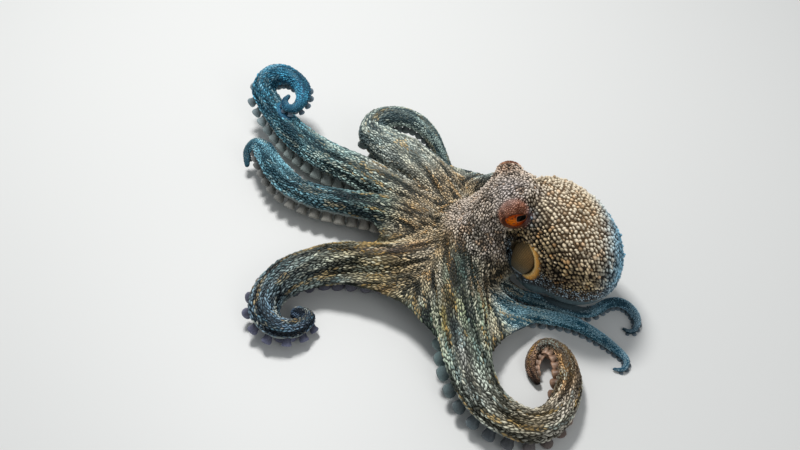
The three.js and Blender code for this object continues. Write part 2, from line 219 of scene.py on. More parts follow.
def smoothRoute(route, steps=40):  # centripetal Catmull-Rom through the points
    points = np.array(route, float)
    points = np.vstack([2 * points[0] - points[1], points, 2 * points[-1] - points[-2]])
    gaps = np.sqrt(np.linalg.norm(np.diff(points, axis=0), axis=1))
    u = np.linspace(0, 1, steps, endpoint=False)[:, None]
    line = []
    for k in range(1, len(points) - 2):
        p0, p1, p2, p3 = points[k - 1:k + 3]
        g0, g1, g2 = gaps[k - 1:k + 2]
        leave = ((p1 - p0) / g0 - (p2 - p0) / (g0 + g1) + (p2 - p1) / g1) * g1
        arrive = ((p2 - p1) / g1 - (p3 - p1) / (g1 + g2) + (p3 - p2) / g2) * g1
        line.append(p1 + leave * u + (3 * (p2 - p1) - 2 * leave - arrive) * u**2
                    + (2 * (p1 - p2) + leave + arrive) * u**3)
    return np.vstack(line + [points[-2:-1]])


def armLine(arm):
    line = smoothRoute(arm["route"])
    travelled = np.concatenate([[0], np.cumsum(np.linalg.norm(np.diff(line, axis=0), axis=1))])
    length = travelled[-1]

    def at(t):  # axis points, radii and roll at shares t of the length
        t = np.clip(np.atleast_1d(t), 0, 1)
        radius = np.interp(t * (len(arm["radii"]) - 1), range(len(arm["radii"])), arm["radii"])
        roll = np.radians(np.interp(t * (len(arm["roll"]) - 1), range(len(arm["roll"])), arm["roll"]))
        axis = np.stack([np.interp(t * length, travelled, line[:, k]) for k in range(3)], 1)
        axis[:, 2] += radius * (np.cos(roll) + armShape["rollLift"] * np.abs(np.sin(roll)))
        return axis, radius, roll

    def framed(t):
        t = np.atleast_1d(t)
        axis, radius, roll = at(t)
        forward = unit(at(t + 0.01)[0] - at(t - 0.01)[0])
        level = unit(np.cross(forward, (0, 0, 1)))
        lean = np.cross(forward, level)
        side = level * np.cos(roll)[:, None] + lean * np.sin(roll)[:, None]
        return {"t": t, "axis": axis, "radius": radius, "forward": forward, "side": side,
                "up": np.cross(side, forward)}

    return {"length": length, "at": framed}


armLines = {name: armLine(arm) for name, arm in arms.items()}


def meshPiece(name, points, faces):
    mesh = bpy.data.meshes.new(name)
    mesh.from_pydata([tuple(p) for p in points], [], faces)
    piece = bpy.data.objects.new(name, mesh)
    scene.collection.objects.link(piece)
    return piece


def loftFaces(rings, sides):
    faces = []
    for ring in range(rings - 1):
        for k in range(sides):
            a, b = ring * sides + k, ring * sides + (k + 1) % sides
            faces.append((a, b, b + sides, a + sides))
    faces.append(tuple(range(sides))[::-1])
    faces.append(tuple(range((rings - 1) * sides, rings * sides)))
    return faces


def buildArm(name):
    line = armLines[name]
    count = int(line["length"] / armShape["step"])
    row = line["at"](np.linspace(0, 1, count))
    angles = (np.arange(armShape["sides"]) + 0.5) / armShape["sides"] * 2 * math.pi
    rise = np.sin(angles)
    below = -armShape["sole"] * np.abs(rise) ** armShape["flatness"]
    height = np.where(rise > 0, armShape["top"] * rise, below)
    coat = armShape["coat"] * np.clip(row["radius"] / 8, 0.2, 1)
    radius = np.maximum(row["radius"] * armShape["bare"] - coat, armShape["slimmest"])
    rings = (row["axis"][:, None] + row["side"][:, None] * (radius[:, None] * np.cos(angles))[..., None]
             + row["up"][:, None] * (radius[:, None] * height)[..., None])
    capWidth, capReach = armShape["cap"]
    end = row["axis"][-1]
    cap = end + (rings[-1] - end) * capWidth + row["forward"][-1] * radius[-1] * capReach
    points = place(np.vstack([rings.reshape(-1, 3), cap]))
    return meshPiece("arm_" + name, points, loftFaces(count + 1, armShape["sides"]))


flesh = [buildArm(name) for name in arms]
print("arms lofted")

webShape = {"root": 14, "edge": 3.2, "rise": (0.5, 0.05), "across": 40, "outwards": 36}
webs = {
    "web_l1_l2": {"between": ("l1", "l2"), "reach": (112, 108), "drawnIn": 0.34},
    "web_l2_l3": {"between": ("l2", "l3"), "reach": (162, 124), "drawnIn": 0.28},
    "web_l3_l4": {"between": ("l3", "l4"), "reach": (142, 78), "drawnIn": 0.16},
    "web_r3_r2": {"between": ("r3", "r2"), "reach": (98, 112), "drawnIn": 0.12},
}


def buildWeb(name, web):
    first, second = (armLines[arm] for arm in web["between"])
    across, outwards = webShape["across"], webShape["outwards"]
    out, share = np.meshgrid(np.linspace(0, 1, outwards + 1), np.linspace(0, 1, across + 1), indexing="ij")
    distance = out * (1 - web["drawnIn"] * np.sin(math.pi * share))
    lift = webShape["rise"][0] * (1 - out) + webShape["rise"][1] * out
    edges = []
    for line, reach in ((first, web["reach"][0]), (second, web["reach"][1])):
        row = line["at"](distance.ravel() * reach / line["length"])
        row["axis"][:, 2] += lift.ravel() * row["radius"]
        edges.append(row["axis"].reshape(out.shape + (3,)))
    middle = edges[0] * (1 - share[..., None]) + edges[1] * share[..., None]
    half = np.zeros_like(middle)
    half[..., 2] = (webShape["root"] * (1 - out) + webShape["edge"] * out) / 2
    rings = np.concatenate([middle + half, (middle - half)[:, ::-1]], axis=1)
    corners = 2 * (across + 1)
    faces = loftFaces(outwards + 1, corners)[:-2]
    ends = [(k, k + 1, corners - 2 - k, corners - 1 - k) for k in range(across)]
    faces += [end[::-1] for end in ends]
    faces += [tuple(corner + outwards * corners for corner in end) for end in ends]
    return meshPiece(name, place(rings.reshape(-1, 3)), faces)


for name, web in webs.items():
    flesh.append(buildWeb(name, web))
print("webs spread")

# The crown and head as level ovals: height, centre x, centre y, half length, half width
headOvals = [(10, -2, -8, 42, 40), (18, -2, -8, 57, 53), (29, -1, -8, 62, 58), (42, 5, -9, 55, 51),
             (56, 15, -10, 43, 40), (72, 28, -10, 33, 31), (88, 38, -10, 29, 29), (101, 43, -10, 25, 27),
             (111, 45, -10, 17, 20), (115, 45, -10, 9, 11)]
head = {"sides": 48, "neckFrom": (40, -10, 84), "neckTo": (64, -12, 78), "neckRadius": 27.4,
        "moundRadius": 17.8, "moundInset": 8.5, "coat": 0.8}
mantle = {"front": (58, 19, 82), "rear": (123, -88, 40), "halfWidth": 47.5, "halfHeight": 48.5, "coat": 1,
          "fullness": (0.96, 1.04), "edgeCentre": (70, -50, 44), "edgeRadius": 27.4,
          "openingCentre": (51, -57, 62), "openingFacing": (-0.72, -0.62, 0.3), "openingRadius": 15.5,
          "lip": 3, "lipSide": (0.98, 0.05, -0.1), "lipWidth": 7}


def buildHead():
    rings = []
    for z, x, y, halfLength, halfWidth in headOvals:
        bpy.ops.mesh.primitive_circle_add(vertices=head["sides"], radius=1, location=place((x, y, z)))
        ring = bpy.context.object
        ring.scale = ((halfLength - head["coat"]) * mm, (halfWidth - head["coat"]) * mm, 1)
        rings.append(ring)
    piece = finishShape(joinInto(ring, rings))
    bpy.ops.object.mode_set(mode="EDIT")
    bpy.ops.mesh.select_all(action="SELECT")
    bpy.ops.mesh.bridge_edge_loops(number_cuts=3, interpolation="SURFACE", smoothness=0.6)
    bpy.ops.mesh.select_all(action="DESELECT")
    bpy.ops.mesh.select_non_manifold()
    bpy.ops.mesh.edge_face_add()
    bpy.ops.object.mode_set(mode="OBJECT")
    faceOutwards(piece)
    return piece


def buildNeck():
    start, end = Vector(place(head["neckFrom"])), Vector(place(head["neckTo"]))
    bpy.ops.mesh.primitive_cylinder_add(
        vertices=40, radius=head["neckRadius"] * mm, depth=(end - start).length,
        location=(start + end) / 2, rotation=(end - start).to_track_quat("Z", "Y").to_euler())
    return finishShape(bpy.context.object)


def buildEyeMound(side):
    outward = Vector(eyes[side]["outward"]).normalized()
    centre = Vector(place(eyes[side]["centre"])) - outward * head["moundInset"] * mm
    bpy.ops.mesh.primitive_uv_sphere_add(
        segments=40, ring_count=24, radius=head["moundRadius"] * mm, location=centre)
    return finishShape(bpy.context.object)


flesh += [buildHead(), buildNeck(), buildEyeMound("left"), buildEyeMound("right")]


def ball(centre, radius):
    bpy.ops.mesh.primitive_uv_sphere_add(
        segments=48, ring_count=28, radius=radius * mm, location=place(centre))
    return finishShape(bpy.context.object)


def mantleEgg(grow):  # fullest behind its middle, with a ball that fills out its lower front edge
    front, rear = Vector(place(mantle["front"])), Vector(place(mantle["rear"]))
    forward = (rear - front).normalized()
    side = forward.cross(Vector((0, 0, 1))).normalized()
    turn = Matrix((side, side.cross(forward), forward)).transposed().to_4x4()
    turn.translation = (front + rear) / 2
    bpy.ops.mesh.primitive_uv_sphere_add(segments=72, ring_count=48, radius=1)
    egg = bpy.context.object
    places = vertexPlaces(egg.data)
    slim, full = mantle["fullness"]
    fullness = slim + (full - slim) * (places[:, 2] + 1) / 2
    places[:, 0] *= (fullness * mantle["halfWidth"] + grow) * mm
    places[:, 1] *= (fullness * mantle["halfHeight"] + grow) * mm
    places[:, 2] *= (rear - front).length / 2 + grow * mm
    setVertexPlaces(egg.data, places)
    egg.matrix_world = turn
    finishShape(egg)
    edge = ball(mantle["edgeCentre"], mantle["edgeRadius"] + grow)
    applyModifier(egg, "BOOLEAN", object=edge, operation="UNION", solver="EXACT")
    bpy.data.objects.remove(edge)
    return egg


def buildMantle():
    egg = mantleEgg(-mantle["coat"])
    bowl = ball(mantle["openingCentre"], mantle["openingRadius"])
    applyModifier(egg, "BOOLEAN", object=bowl, operation="DIFFERENCE", solver="EXACT")
    facing = Vector(mantle["openingFacing"]).normalized()
    bpy.ops.mesh.primitive_torus_add(
        major_radius=mantle["openingRadius"] * mm, minor_radius=mantle["lip"] * mm, major_segments=64,
        minor_segments=18, location=place(mantle["openingCentre"]),
        rotation=facing.to_track_quat("Z", "Y").to_euler())
    lip = finishShape(bpy.context.object)
    outer = mantleEgg(mantle["lip"])
    applyModifier(lip, "BOOLEAN", object=outer, operation="INTERSECT", solver="EXACT")
    for cutter in (bowl, outer):
        bpy.data.objects.remove(cutter)
    return [egg, lip]


flesh += buildMantle()
print("head and mantle shaped")

skinShape = {"voxel": 1.4, "crownCentre": (-5, -8, 30), "crownReach": (50, 110), "crownTop": (55, 78),
             "crownSmoothing": 120, "smoothing": 5, "triangles": 158000}
skin = joinInto(flesh[0], flesh)
skin.name = "skin"
applyModifier(skin, "REMESH", mode="VOXEL", voxel_size=skinShape["voxel"] * mm)
print("skin remeshed", len(skin.data.polygons))


def weightGroup(piece, name, weights, levels=20):
    group = piece.vertex_groups.new(name=name)
    for level in range(1, levels + 1):
        chosen = np.nonzero(np.round(weights * levels) == level)[0]
        group.add(chosen.tolist(), level / levels, "REPLACE")


def distanceFrom(places, centre):  # in millimetres
    return np.linalg.norm(places - place(centre), axis=1) / mm


def smoothSkin():  # most over the crown, where arms and webs melt into the head
    places = vertexPlaces(skin.data)
    inner, outer = skinShape["crownReach"]
    low, high = skinShape["crownTop"]
    crown = smoothStep(outer, inner, distanceFrom(places, skinShape["crownCentre"]))
    weightGroup(skin, "crown", crown * smoothStep(high, low, places[:, 2] / mm))
    applyModifier(skin, "SMOOTH", factor=0.5, iterations=skinShape["smoothing"])
    applyModifier(skin, "SMOOTH", factor=0.5, iterations=skinShape["crownSmoothing"], vertex_group="crown")
    triangles = 2 * len(skin.data.polygons)
    applyModifier(skin, "DECIMATE", ratio=min(1, skinShape["triangles"] / triangles))


def cutAtFloor():
    bpy.ops.object.mode_set(mode="EDIT")
    bpy.ops.mesh.select_all(action="SELECT")
    bpy.ops.mesh.bisect(plane_co=(0, 0, 0), plane_no=(0, 0, 1), use_fill=True, clear_inner=True)
    bpy.ops.mesh.select_all(action="SELECT")
    bpy.ops.mesh.dissolve_degenerate(threshold=0.01 * mm)
    bpy.ops.object.mode_set(mode="OBJECT")


smoothSkin()
cutAtFloor()
print("skin smoothed", len(skin.data.polygons))

# The lids leave an oval opening on the eye, in millimetres right of and above its outward point.
lids = {"centre": (2.4, -4.1), "half": (10.8, 6.2), "over": 0.9, "under": 1.6, "margin": 0.6,
        "bead": 0.6, "beadAt": 0.8, "beadWidth": 1.2, "reach": 17.5, "refine": 21}


def eyeOffsets(side, places):  # right of, above and out of the eye's middle, in millimetres
    out = unit(np.array(eyes[side]["outward"], float))
    upward = unit(np.array((0, 0, 1)) - out * out[2])
    right = np.array((1.0, 0, 0)) - out * out[0]
    right = unit(right - upward * (right @ upward))
    offset = (places - place(eyes[side]["centre"])) / mm
    return offset @ right, offset @ upward, offset @ out


def pastLidEdge(side, places):  # millimetres outside the opening between the lids, negative inside
    x, y, z = eyeOffsets(side, places)
    far = np.sqrt(x**2 + y**2 + z**2)
    scale = eyes["radius"] / np.maximum(far, 1)
    (cx, cy), (hx, hy) = lids["centre"], lids["half"]
    past = (np.sqrt(((x * scale - cx) / hx) ** 2 + ((y * scale - cy) / hy) ** 2) - 1) * hy
    return np.where((z > 0) & (far < lids["refine"]), past, 99)


def refineLids():
    places = vertexPlaces(skin.data)
    near = np.zeros(len(places), bool)
    for side in ("left", "right"):
        near |= distanceFrom(places, eyes[side]["centre"]) < lids["refine"]
    bpy.ops.object.mode_set(mode="EDIT")
    bpy.ops.mesh.select_mode(type="VERT")
    bpy.ops.mesh.select_all(action="DESELECT")
    bpy.ops.object.mode_set(mode="OBJECT")
    skin.data.vertices.foreach_set("select", near)
    bpy.ops.object.mode_set(mode="EDIT")
    bpy.ops.mesh.subdivide(number_cuts=2)
    bpy.ops.mesh.quads_convert_to_tris()
    bpy.ops.object.mode_set(mode="OBJECT")


def shapeLids(places):
    for side in ("left", "right"):
        x, y, z = eyeOffsets(side, places)
        far = np.maximum(np.sqrt(x**2 + y**2 + z**2), 1)
        past = pastLidEdge(side, places)
        bead = lids["bead"] * np.exp(-((past - lids["beadAt"]) / lids["beadWidth"]) ** 2)
        covering = np.maximum(far, eyes["radius"] + lids["over"] + bead)
        behind = np.minimum(far, eyes["radius"] - lids["under"])
        share = smoothStep(-lids["margin"], lids["margin"], past)
        target = behind * (1 - share) + covering * share
        hold = smoothStep(lids["reach"], lids["reach"] - 2, far) * smoothStep(-1, 2, z)
        target = far * (1 - hold) + target * hold
        middle = place(eyes[side]["centre"])
        places = middle + (places - middle) * (target / far)[:, None]
    return places


refineLids()
skin.data.validate()
setVertexPlaces(skin.data, shapeLids(vertexPlaces(skin.data)))
smoothFaces(skin)
print("lids shaped", len(skin.data.polygons))


def colour(code):  # "#rrggbb" to linear
    parts = np.array([int(code[k:k + 2], 16) / 255 for k in (1, 3, 5)])
    return np.where(parts <= 0.04045, parts / 12.92, ((parts + 0.055) / 1.055) ** 2.4)


# Cell and groove colours from each arm's root to its tip
armPaint = {
    "l1": (["#ccc0a4", "#7a8c80", "#5e848e", "#7cb2c0", "#68a0b4"],
           ["#26241c", "#14262a", "#143038", "#1c4654", "#1e4c62"]),
    "l2": (["#d8be92", "#ccb888", "#a4b0a6", "#6e8898", "#5a6e86"],
           ["#2a2418", "#1c200c", "#101c20", "#0c1a24", "#0a1824"]),
    "l3": (["#94a08e", "#98aa8c", "#b8c2b4", "#dcd6c6", "#bc9a74", "#a47e66"],
           ["#101e22", "#142224", "#1a2018", "#2a2412", "#2c2014", "#281a14"]),
    # l4 and r4 are lighter than their own pale blue, as painted light against the mantle's shadow on them
    "l4": (["#d0ecec", "#b8ecfc", "#b0e8ff", "#b0dcf0"], ["#1e5060", "#1c5c70", "#1a5874"]),
    "r4": (["#bce0e4", "#9cd0e4", "#94c8e0", "#a0bccc"], ["#1e444e", "#184656", "#1a4254"]),
    "r3": (["#b8bcae", "#88a8ae", "#6c98ac"], ["#202828", "#14262a"]),
    "r2": (["#f4f0dc", "#e4ecdc", "#c8dad0", "#98bcbc"], ["#5c5e54", "#4c6064", "#385660"]),
    "r1": (["#e8e2c8", "#b4ccc2", "#6ca4b0", "#4698b8", "#4a94b0"],
           ["#34362a", "#1c383e", "#1a4a5e", "#1e5678"]),
}
bodyPaint = {  # cells and grooves
    "crown": ("#d2bc98", "#22241e"), "head": ("#fae8d4", "#2c241a"), "lid": ("#a86a48", "#64341e"),
    # The mantle's top colours are lighter as painted light; its low colours are darker as painted shade over
    # its own blue-grey
    "mantleLitTop": ("#fff0d4", "#7c6244"), "mantleMid": ("#a08c68", "#120d08"),
    "mantleShadedLow": ("#6888a4", "#0a141c"), "mantleSide": ("#84b8d0", "#16384a"),
}
# The belly's blue-grey is darker than its own colour, as painted shade under the mantle
barePaint = {"lip": "#ffb858", "bowl": "#3c3220", "belly": "#5c6e74", "sole": "#8a9492"}
# The lip keeps its own orange; its inner edge is paler as a painted highlight
lipPaint = {"inner": "#ffe0a0", "outer": "#7c5640", "strength": 0.8}
glint = {"place": (49, -68, 53), "radius": 1.9, "colour": "#e4f0f6", "strength": 0.9}
# How far each arm keeps its warm colours towards the tip
warmth = {"l1": 0.35, "l2": 0.8, "l3": 1, "l4": 0.3, "r4": 0.3, "r3": 0.5, "r2": 0.8, "r1": 0.3}
# Patches of colour: place, reach along and across the lie of the grains, colour, strength
marks = [
    ((-79, 83, 46), 16, 7, "#e8cfae", 0.7), ((-52, 77, 52), 15, 6, "#e6bd86", 0.75),
    ((-62, 60, 48), 34, 5, "#2c3a40", 0.45), ((-47, 22, 48), 12, 6, "#f2c98c", 0.85),
    ((-37, 48, 48), 26, 5, "#d8bc94", 0.5), ((-88, -31, 46), 13, 7, "#e8c6a2", 0.75),
    ((-48, -31, 50), 10, 7, "#f0bf8a", 0.8), ((-20, -33, 56), 15, 8, "#f0c98e", 0.8),
    ((-68, -33, 46), 10, 6, "#a08a90", 0.6), ((2, -68, 59), 30, 16, "#2a4650", 0.75),
    ((10, -34, 74), 16, 10, "#26302e", 0.55), ((37, -39, 73), 12, 7, "#262a24", 0.7),
    ((-17, -101, 53), 22, 14, "#c8b06a", 0.5), ((19, -114, 27), 14, 11, "#efe6d0", 0.8),
    ((-2, -184, 40), 22, 7, "#dcd8cc", 0.65), ((37, -217, 31), 26, 8, "#ccb078", 0.55),
    ((84, -160, 24), 24, 6, "#dca04c", 0.75), ((-76, -70, 32), 10, 5, "#c88a34", 0.4),
    ((28, -108, 23), 12, 9, "#fcecc4", 0.8), ((-8, -158, 46), 22, 6, "#eceae0", 0.75),
    ((-19, -97, 50), 16, 9, "#b4823c", 0.45), ((50, -209, 28), 22, 8, "#e0c89c", 0.6),
    ((-14, -132, 49), 20, 5, "#c0d0d4", 0.5), ((-24, -118, 46), 18, 4, "#c8a43c", 0.6),
    ((37, -20, 113), 18, 13, "#fcf2ee", 0.8), ((37, 13, 110), 19, 14, "#8c6648", 0.75),
    ((57, -40, 96), 10, 7, "#8ca8bc", 0.8), ((-12, -72, 61), 34, 22, "#3e6a66", 0.8),
    ((-62, 83, 40), 30, 16, "#f4f6ea", 0.85), ((-128, -60, 28), 30, 12, "#9cb4ba", 0.5),
    ((62, -17, 109), 10, 9, "#d2ccc8", 0.6), ((105, -35, 107), 20, 16, "#e6d0a8", 0.45),
    ((-62, 100, 56), 34, 18, "#ccd6ce", 0.7), ((60, -40, 88), 9, 7, "#5a6468", 0.6),
    ((-85, 92, 40), 22, 12, "#ecece0", 0.8), ((-40, 66, 52), 20, 10, "#dcd4b8", 0.5),
]
# Pigments laid over the cells: colour, the noise level where they start, and their strength
pigments = {
    "arm": [("#dcdcc4", 0.3, 0.7), ("#c0963c", 0.42, 0.75), ("#38707c", 0.42, 0.55), ("#4a3a26", 0.5, 0.6)],
    "crown": [("#e6dcc6", 0.25, 0.7), ("#cc9c58", 0.4, 0.7), ("#55605e", 0.4, 0.5), ("#4a3a28", 0.42, 0.6)],
    "head": [("#f4e6dc", 0.15, 0.6), ("#b48a5e", 0.25, 0.6), ("#7c7468", 0.3, 0.6), ("#463624", 0.2, 0.75)],
    "mantle": [("#f6e2c0", 0.3, 0.5), ("#c08a4c", 0.15, 0.6), ("#8a7a66", 0.25, 0.6), ("#463828", 0.2, 0.7)],
    "lid": [("#d0b49c", 0.35, 0.7), ("#a85c30", 0.1, 0.6), ("#56281a", 0.2, 0.6), ("#38180e", 0.5, 0.5)],
}
# How much of the cells' colour the grooves take on
groundShare = {"arm": 0.2, "crown": 0.13, "head": 0.15, "mantle": 0.03, "lid": 0.3}
markInGrooves = 0.06  # a mark's strength in the grooves, as a share of its strength on the cells
# The dull colour darkens the mantle's low cells, partly their own colour and partly painted shade; the bright
# one makes dots
lowDots = {"bright": "#b8ccd8", "dull": "#40505e", "share": 0.42, "strength": 0.65}  # low on the mantle
darkCells = {"start": 0.14, "strength": 0.88, "sparing": 0.3}  # nearly as dark as the grooves
tones = {  # how strongly each unevenness lightens and darkens the cells
    # fold lightens the cells on the folds' ridges and darkens them in their valleys, as painted light and
    # shade
    "fold": 0.55, "fine": 0.45, "patch": 0.25, "speckle": 0.42, "mantleCalm": 0.17,
    # the mantle's top tone lightens the cells on its upper side and darkens them on its underside, as painted
    # light and shade
    "headPatch": 0.5, "head": 0.22, "mantlePatch": 0.35, "mantleLitTop": 0.35, "mantle": 0.1,
}
grainSize = {  # millimetres: length along the lie, width, height
    "arm": (4.3, 1.5, 0.7), "crown": (3.3, 1.45, 0.7), "head": (2.9, 1.85, 0.9), "mantle": (5.4, 3.7, 1.7),
    "lid": (1.5, 1.3, 0.35),
}
# Sizes of the folds and streaks in millimetres along and across each arm
lie = {"fold": (34, 3.6), "broad": (80, 8), "fine": (14, 2.3), "streak": (24, 4)}
folds = {  # millimetres
    "depth": {"arm": 1.3, "crown": 1.4, "head": 1.1, "lid": 0.3},
    "range": (-1.2, 0.35),  # furthest in and out, in depths
    "flesh": (4, 12), "aboveFloor": (1, 5),  # no folds below the first, full ones from the second
    "thickArm": 15,  # the radius with folds of full depth
}
# Where each part ends and where it is whole, mostly in millimetres from its middle
regions = {
    "headLine": ((24, -10, 66), (45, -10, 104)), "head": (50, 36),
    "crownMiddle": (0, -8, 0), "crown": (115, 60), "crownShare": (0.28, 0.06),
    "egg": (1.2, 1.08), "edge": (6, 2), "edgeFrom": (48, 56), "lid": (18.5, 15.5), "lidBelow": (-17, -11),
}

rowsPerArm = 150
lineRows = {name: line["at"](np.linspace(0, 1, rowsPerArm)) for name, line in armLines.items()}
mantleFront, mantleRear = place(mantle["front"]), place(mantle["rear"])
mantleForward = unit(mantleRear - mantleFront)
mantleSide = unit(np.cross(mantleForward, (0, 0, 1)))
mantleUp = np.cross(mantleSide, mantleForward)
mantleLength = np.linalg.norm(mantleRear - mantleFront)
mantleHalf = np.array([mantle["halfWidth"] * mm, mantle["halfHeight"] * mm, mantleLength / 2])


def mantleCoordinates(places):
    out = places - (mantleFront + mantleRear) / 2
    return np.stack([out @ mantleSide, out @ mantleUp, out @ mantleForward], 1) / mantleHalf


def fromPalette(codes, t):
    steps = np.array([colour(code) for code in codes])
    spot = np.clip(t, 0, 1) * (len(codes) - 1)
    return np.stack([np.interp(spot, range(len(codes)), steps[:, k]) for k in range(3)], 1)


def blend(base, code, share):  # by one share for all or by one for each
    share = np.reshape(share, (-1, 1))
    return base * (1 - share) + colour(code) * share


def nearestRows(row, places):
    axis = place(row["axis"])
    nearest = np.empty(len(places), int)
    for start in range(0, len(places), 8192):
        part = places[start:start + 8192]
        square = (part**2).sum(1)[:, None] + (axis**2).sum(1)[None] - 2 * part @ axis.T
        nearest[start:start + 8192] = (square / (row["radius"] * mm)[None] ** 0.5).argmin(1)
    return nearest, (places - axis[nearest]) / mm


def mantleShare(places, level):
    onEgg = smoothStep(*regions["egg"], np.linalg.norm(level, axis=1)) * smoothStep(-0.98, -0.8, level[:, 2])
    onEdge = smoothStep(*regions["edge"], distanceFrom(places, mantle["edgeCentre"]) - mantle["edgeRadius"])
    behind = smoothStep(*regions["edgeFrom"], (places - place((0, 0, 0)))[:, 0] / mm)
    return np.maximum(onEgg, onEdge * behind)


def partShares(places, alongArm, onMantle):
    low, high = (place(end) for end in regions["headLine"])
    rise = high - low
    along = np.clip((places - low) @ rise / (rise @ rise), 0, 1)
    fromHead = np.linalg.norm(places - low - along[:, None] * rise, axis=1) / mm
    onHead = smoothStep(*regions["head"], fromHead) * (1 - onMantle)
    middle = np.linalg.norm((places - place(regions["crownMiddle"]))[:, :2], axis=1) / mm
    onCrown = smoothStep(*regions["crownShare"], alongArm) * smoothStep(*regions["crown"], middle)
    onCrown *= (1 - onHead) * (1 - onMantle)
    onLid = np.zeros(len(places))
    for side in ("left", "right"):
        x, y, z = eyeOffsets(side, places)
        near = smoothStep(*regions["lid"], distanceFrom(places, eyes[side]["centre"]))
        front = smoothStep(eyes[side]["lidFrom"], eyes[side]["lidFrom"] + 4, z)
        onLid = np.maximum(onLid, near * front * smoothStep(*regions["lidBelow"], y))
    parts = {"mantle": onMantle, "head": onHead, "crown": onCrown}
    parts = {name: share * (1 - onLid) for name, share in parts.items()}
    parts["lid"] = onLid
    parts["arm"] = np.clip(1 - sum(parts.values()), 0, 1)
    return parts


def bodyMap(places, painted=False):  # which part each place lies on, the lie of its grains and its colours
    count = len(places)
    levels = ("thick", "share", "warmth", "fold", "broad", "fine", "a", "b", "c", "d")
    sums = {name: np.zeros((count, 3)) for name in ("flow", "sole", "cells", "grooves")}
    sums.update({name: np.zeros((count, 1)) for name in levels})
    total = np.zeros((count, 1))
    weights = []
    for number, (name, row) in enumerate(lineRows.items()):
        nearest, out = nearestRows(row, places)
        gap = np.maximum(np.linalg.norm(out, axis=1) - row["radius"][nearest], 0) + 3
        weight = (gap ** -3.0)[:, None]
        weights.append(weight[:, 0])
        total += weight
        sums["flow"] += weight * row["forward"][nearest]
        sums["sole"] -= weight * row["up"][nearest]
        sums["thick"] += weight * row["radius"][nearest][:, None]
        sums["share"] += weight * row["t"][nearest][:, None]
        if not painted:
            continue
        t = row["t"][nearest]
        sums["cells"] += weight * fromPalette(armPaint[name][0], t)
        sums["grooves"] += weight * fromPalette(armPaint[name][1], t)
        warm = warmth[name]
        sums["warmth"] += weight * (1 + (warm - 1) * smoothStep(0.15, 0.6, t))[:, None]
        run = t * armLines[name]["length"] + (out * row["forward"][nearest]).sum(1)
        local = np.stack([run, (out * row["side"][nearest]).sum(1), (out * row["up"][nearest]).sum(1)], 1)
        for seed, key in enumerate(("fold", "broad", "fine")):
            long, wide = lie[key]
            sums[key] += weight * softNoise(local / (long, wide, wide), 300 * seed + number)[:, None]
        long, wide = lie["streak"]
        for seed, key in enumerate("abcd"):
            sums[key] += weight * softNoise(local / (long, wide, wide) + 40, 50 * seed + number)[:, None]
    body = {name: values / total for name, values in sums.items()}
    body["nearest"] = np.argmax(weights, axis=0)
    for name in levels:
        body[name] = body[name][:, 0]
    level = mantleCoordinates(places)
    facing = unit(level[:, :1] / mantleHalf[0] * mantleSide + level[:, 1:2] / mantleHalf[1] * mantleUp
                  + level[:, 2:] / mantleHalf[2] * mantleForward)
    onMantle = mantleShare(places, level)
    body["parts"] = partShares(places, body["share"], onMantle)
    body["low"] = -facing[:, 2]
    body["flow"] = body["flow"] * (1 - onMantle)[:, None] + mantleForward * onMantle[:, None]
    if painted:
        paintBody(places, level, body)
    return body


def paintBody(places, level, body):
    parts = body["parts"]
    # Painted light: the mantle's upper side is lighter, less so towards the rear
    top = smoothStep(0.2, 0.95, level[:, 1] - 0.5 * level[:, 0])
    top *= 1 - smoothStep(0.3, 0.9, level[:, 2]) * 0.5
    # Painted shade: the mantle's underside is darker
    low = smoothStep(0.15, -0.6, level[:, 1])
    far = smoothStep(0.2, 0.85, -0.8 * level[:, 0] + 0.6 * level[:, 2])
    shares = {name: parts[name] for name in ("crown", "head", "lid")}
    for layer, pick in (("cells", 0), ("grooves", 1)):
        shade = np.tile(colour(bodyPaint["mantleMid"][pick]), (len(places), 1))
        shade = blend(shade, bodyPaint["mantleLitTop"][pick], top)
        shade = blend(shade, bodyPaint["mantleShadedLow"][pick], low)
        shade = blend(shade, bodyPaint["mantleSide"][pick], far)
        mixed = body[layer] * parts["arm"][:, None] + shade * parts["mantle"][:, None]
        for name, share in shares.items():
            mixed += colour(bodyPaint[name][pick]) * share[:, None]
        body[layer] = mixed
    flow = unit(body["flow"])
    for at, long, wide, code, strength in marks:
        out = (places - place(at)) / mm
        run = (out * flow).sum(1)
        side = np.sqrt(np.maximum((out**2).sum(1) - run**2, 0))
        share = strength * np.exp(-(run / long) ** 2 - (side / wide) ** 2)
        body["cells"] = blend(body["cells"], code, share)
        body["grooves"] = blend(body["grooves"], code, markInGrooves * share)
    ground = sum(parts[part] * share for part, share in groundShare.items())
    ground *= smoothStep(0.35, -0.3, 0.8 * body["fine"] - 0.7 * body["fold"])
    body["grooves"] = body["grooves"] * (1 - ground)[:, None] + body["cells"] * ground[:, None]
    # Painted light and shade: cells lighter on the folds' ridges and darker in their valleys
    along = body["fold"] * (1 - parts["head"] - parts["mantle"])
    tone = tones["fold"] * along + tones["fine"] * body["fine"] + tones["patch"] * patchNoise(places, 13, 5)
    tone += parts["head"] * (tones["headPatch"] * patchNoise(places, 7, 7) + tones["head"])
    # Besides its patches, the mantle's cells are lighter on its upper side and darker on its underside, as
    # painted light and shade
    tone += parts["mantle"] * (tones["mantlePatch"] * patchNoise(places, 9, 12) + tones["mantleLitTop"] * top
                               - tones["mantleLitTop"] * low + tones["mantle"])
    speckle = tones["speckle"] - tones["mantleCalm"] * parts["mantle"]
    body["tone"] = np.exp(tone + speckle * patchNoise(places, 4.5, 6))
    body["cool"] = parts["mantle"] * np.maximum(far, low)


def paint(piece, name, colours):
    layer = piece.data.color_attributes.new(name, "FLOAT_COLOR", "POINT")
    values = np.column_stack([colours, np.ones(len(colours))])
    layer.data.foreach_set("color", values.astype(np.float32).ravel())


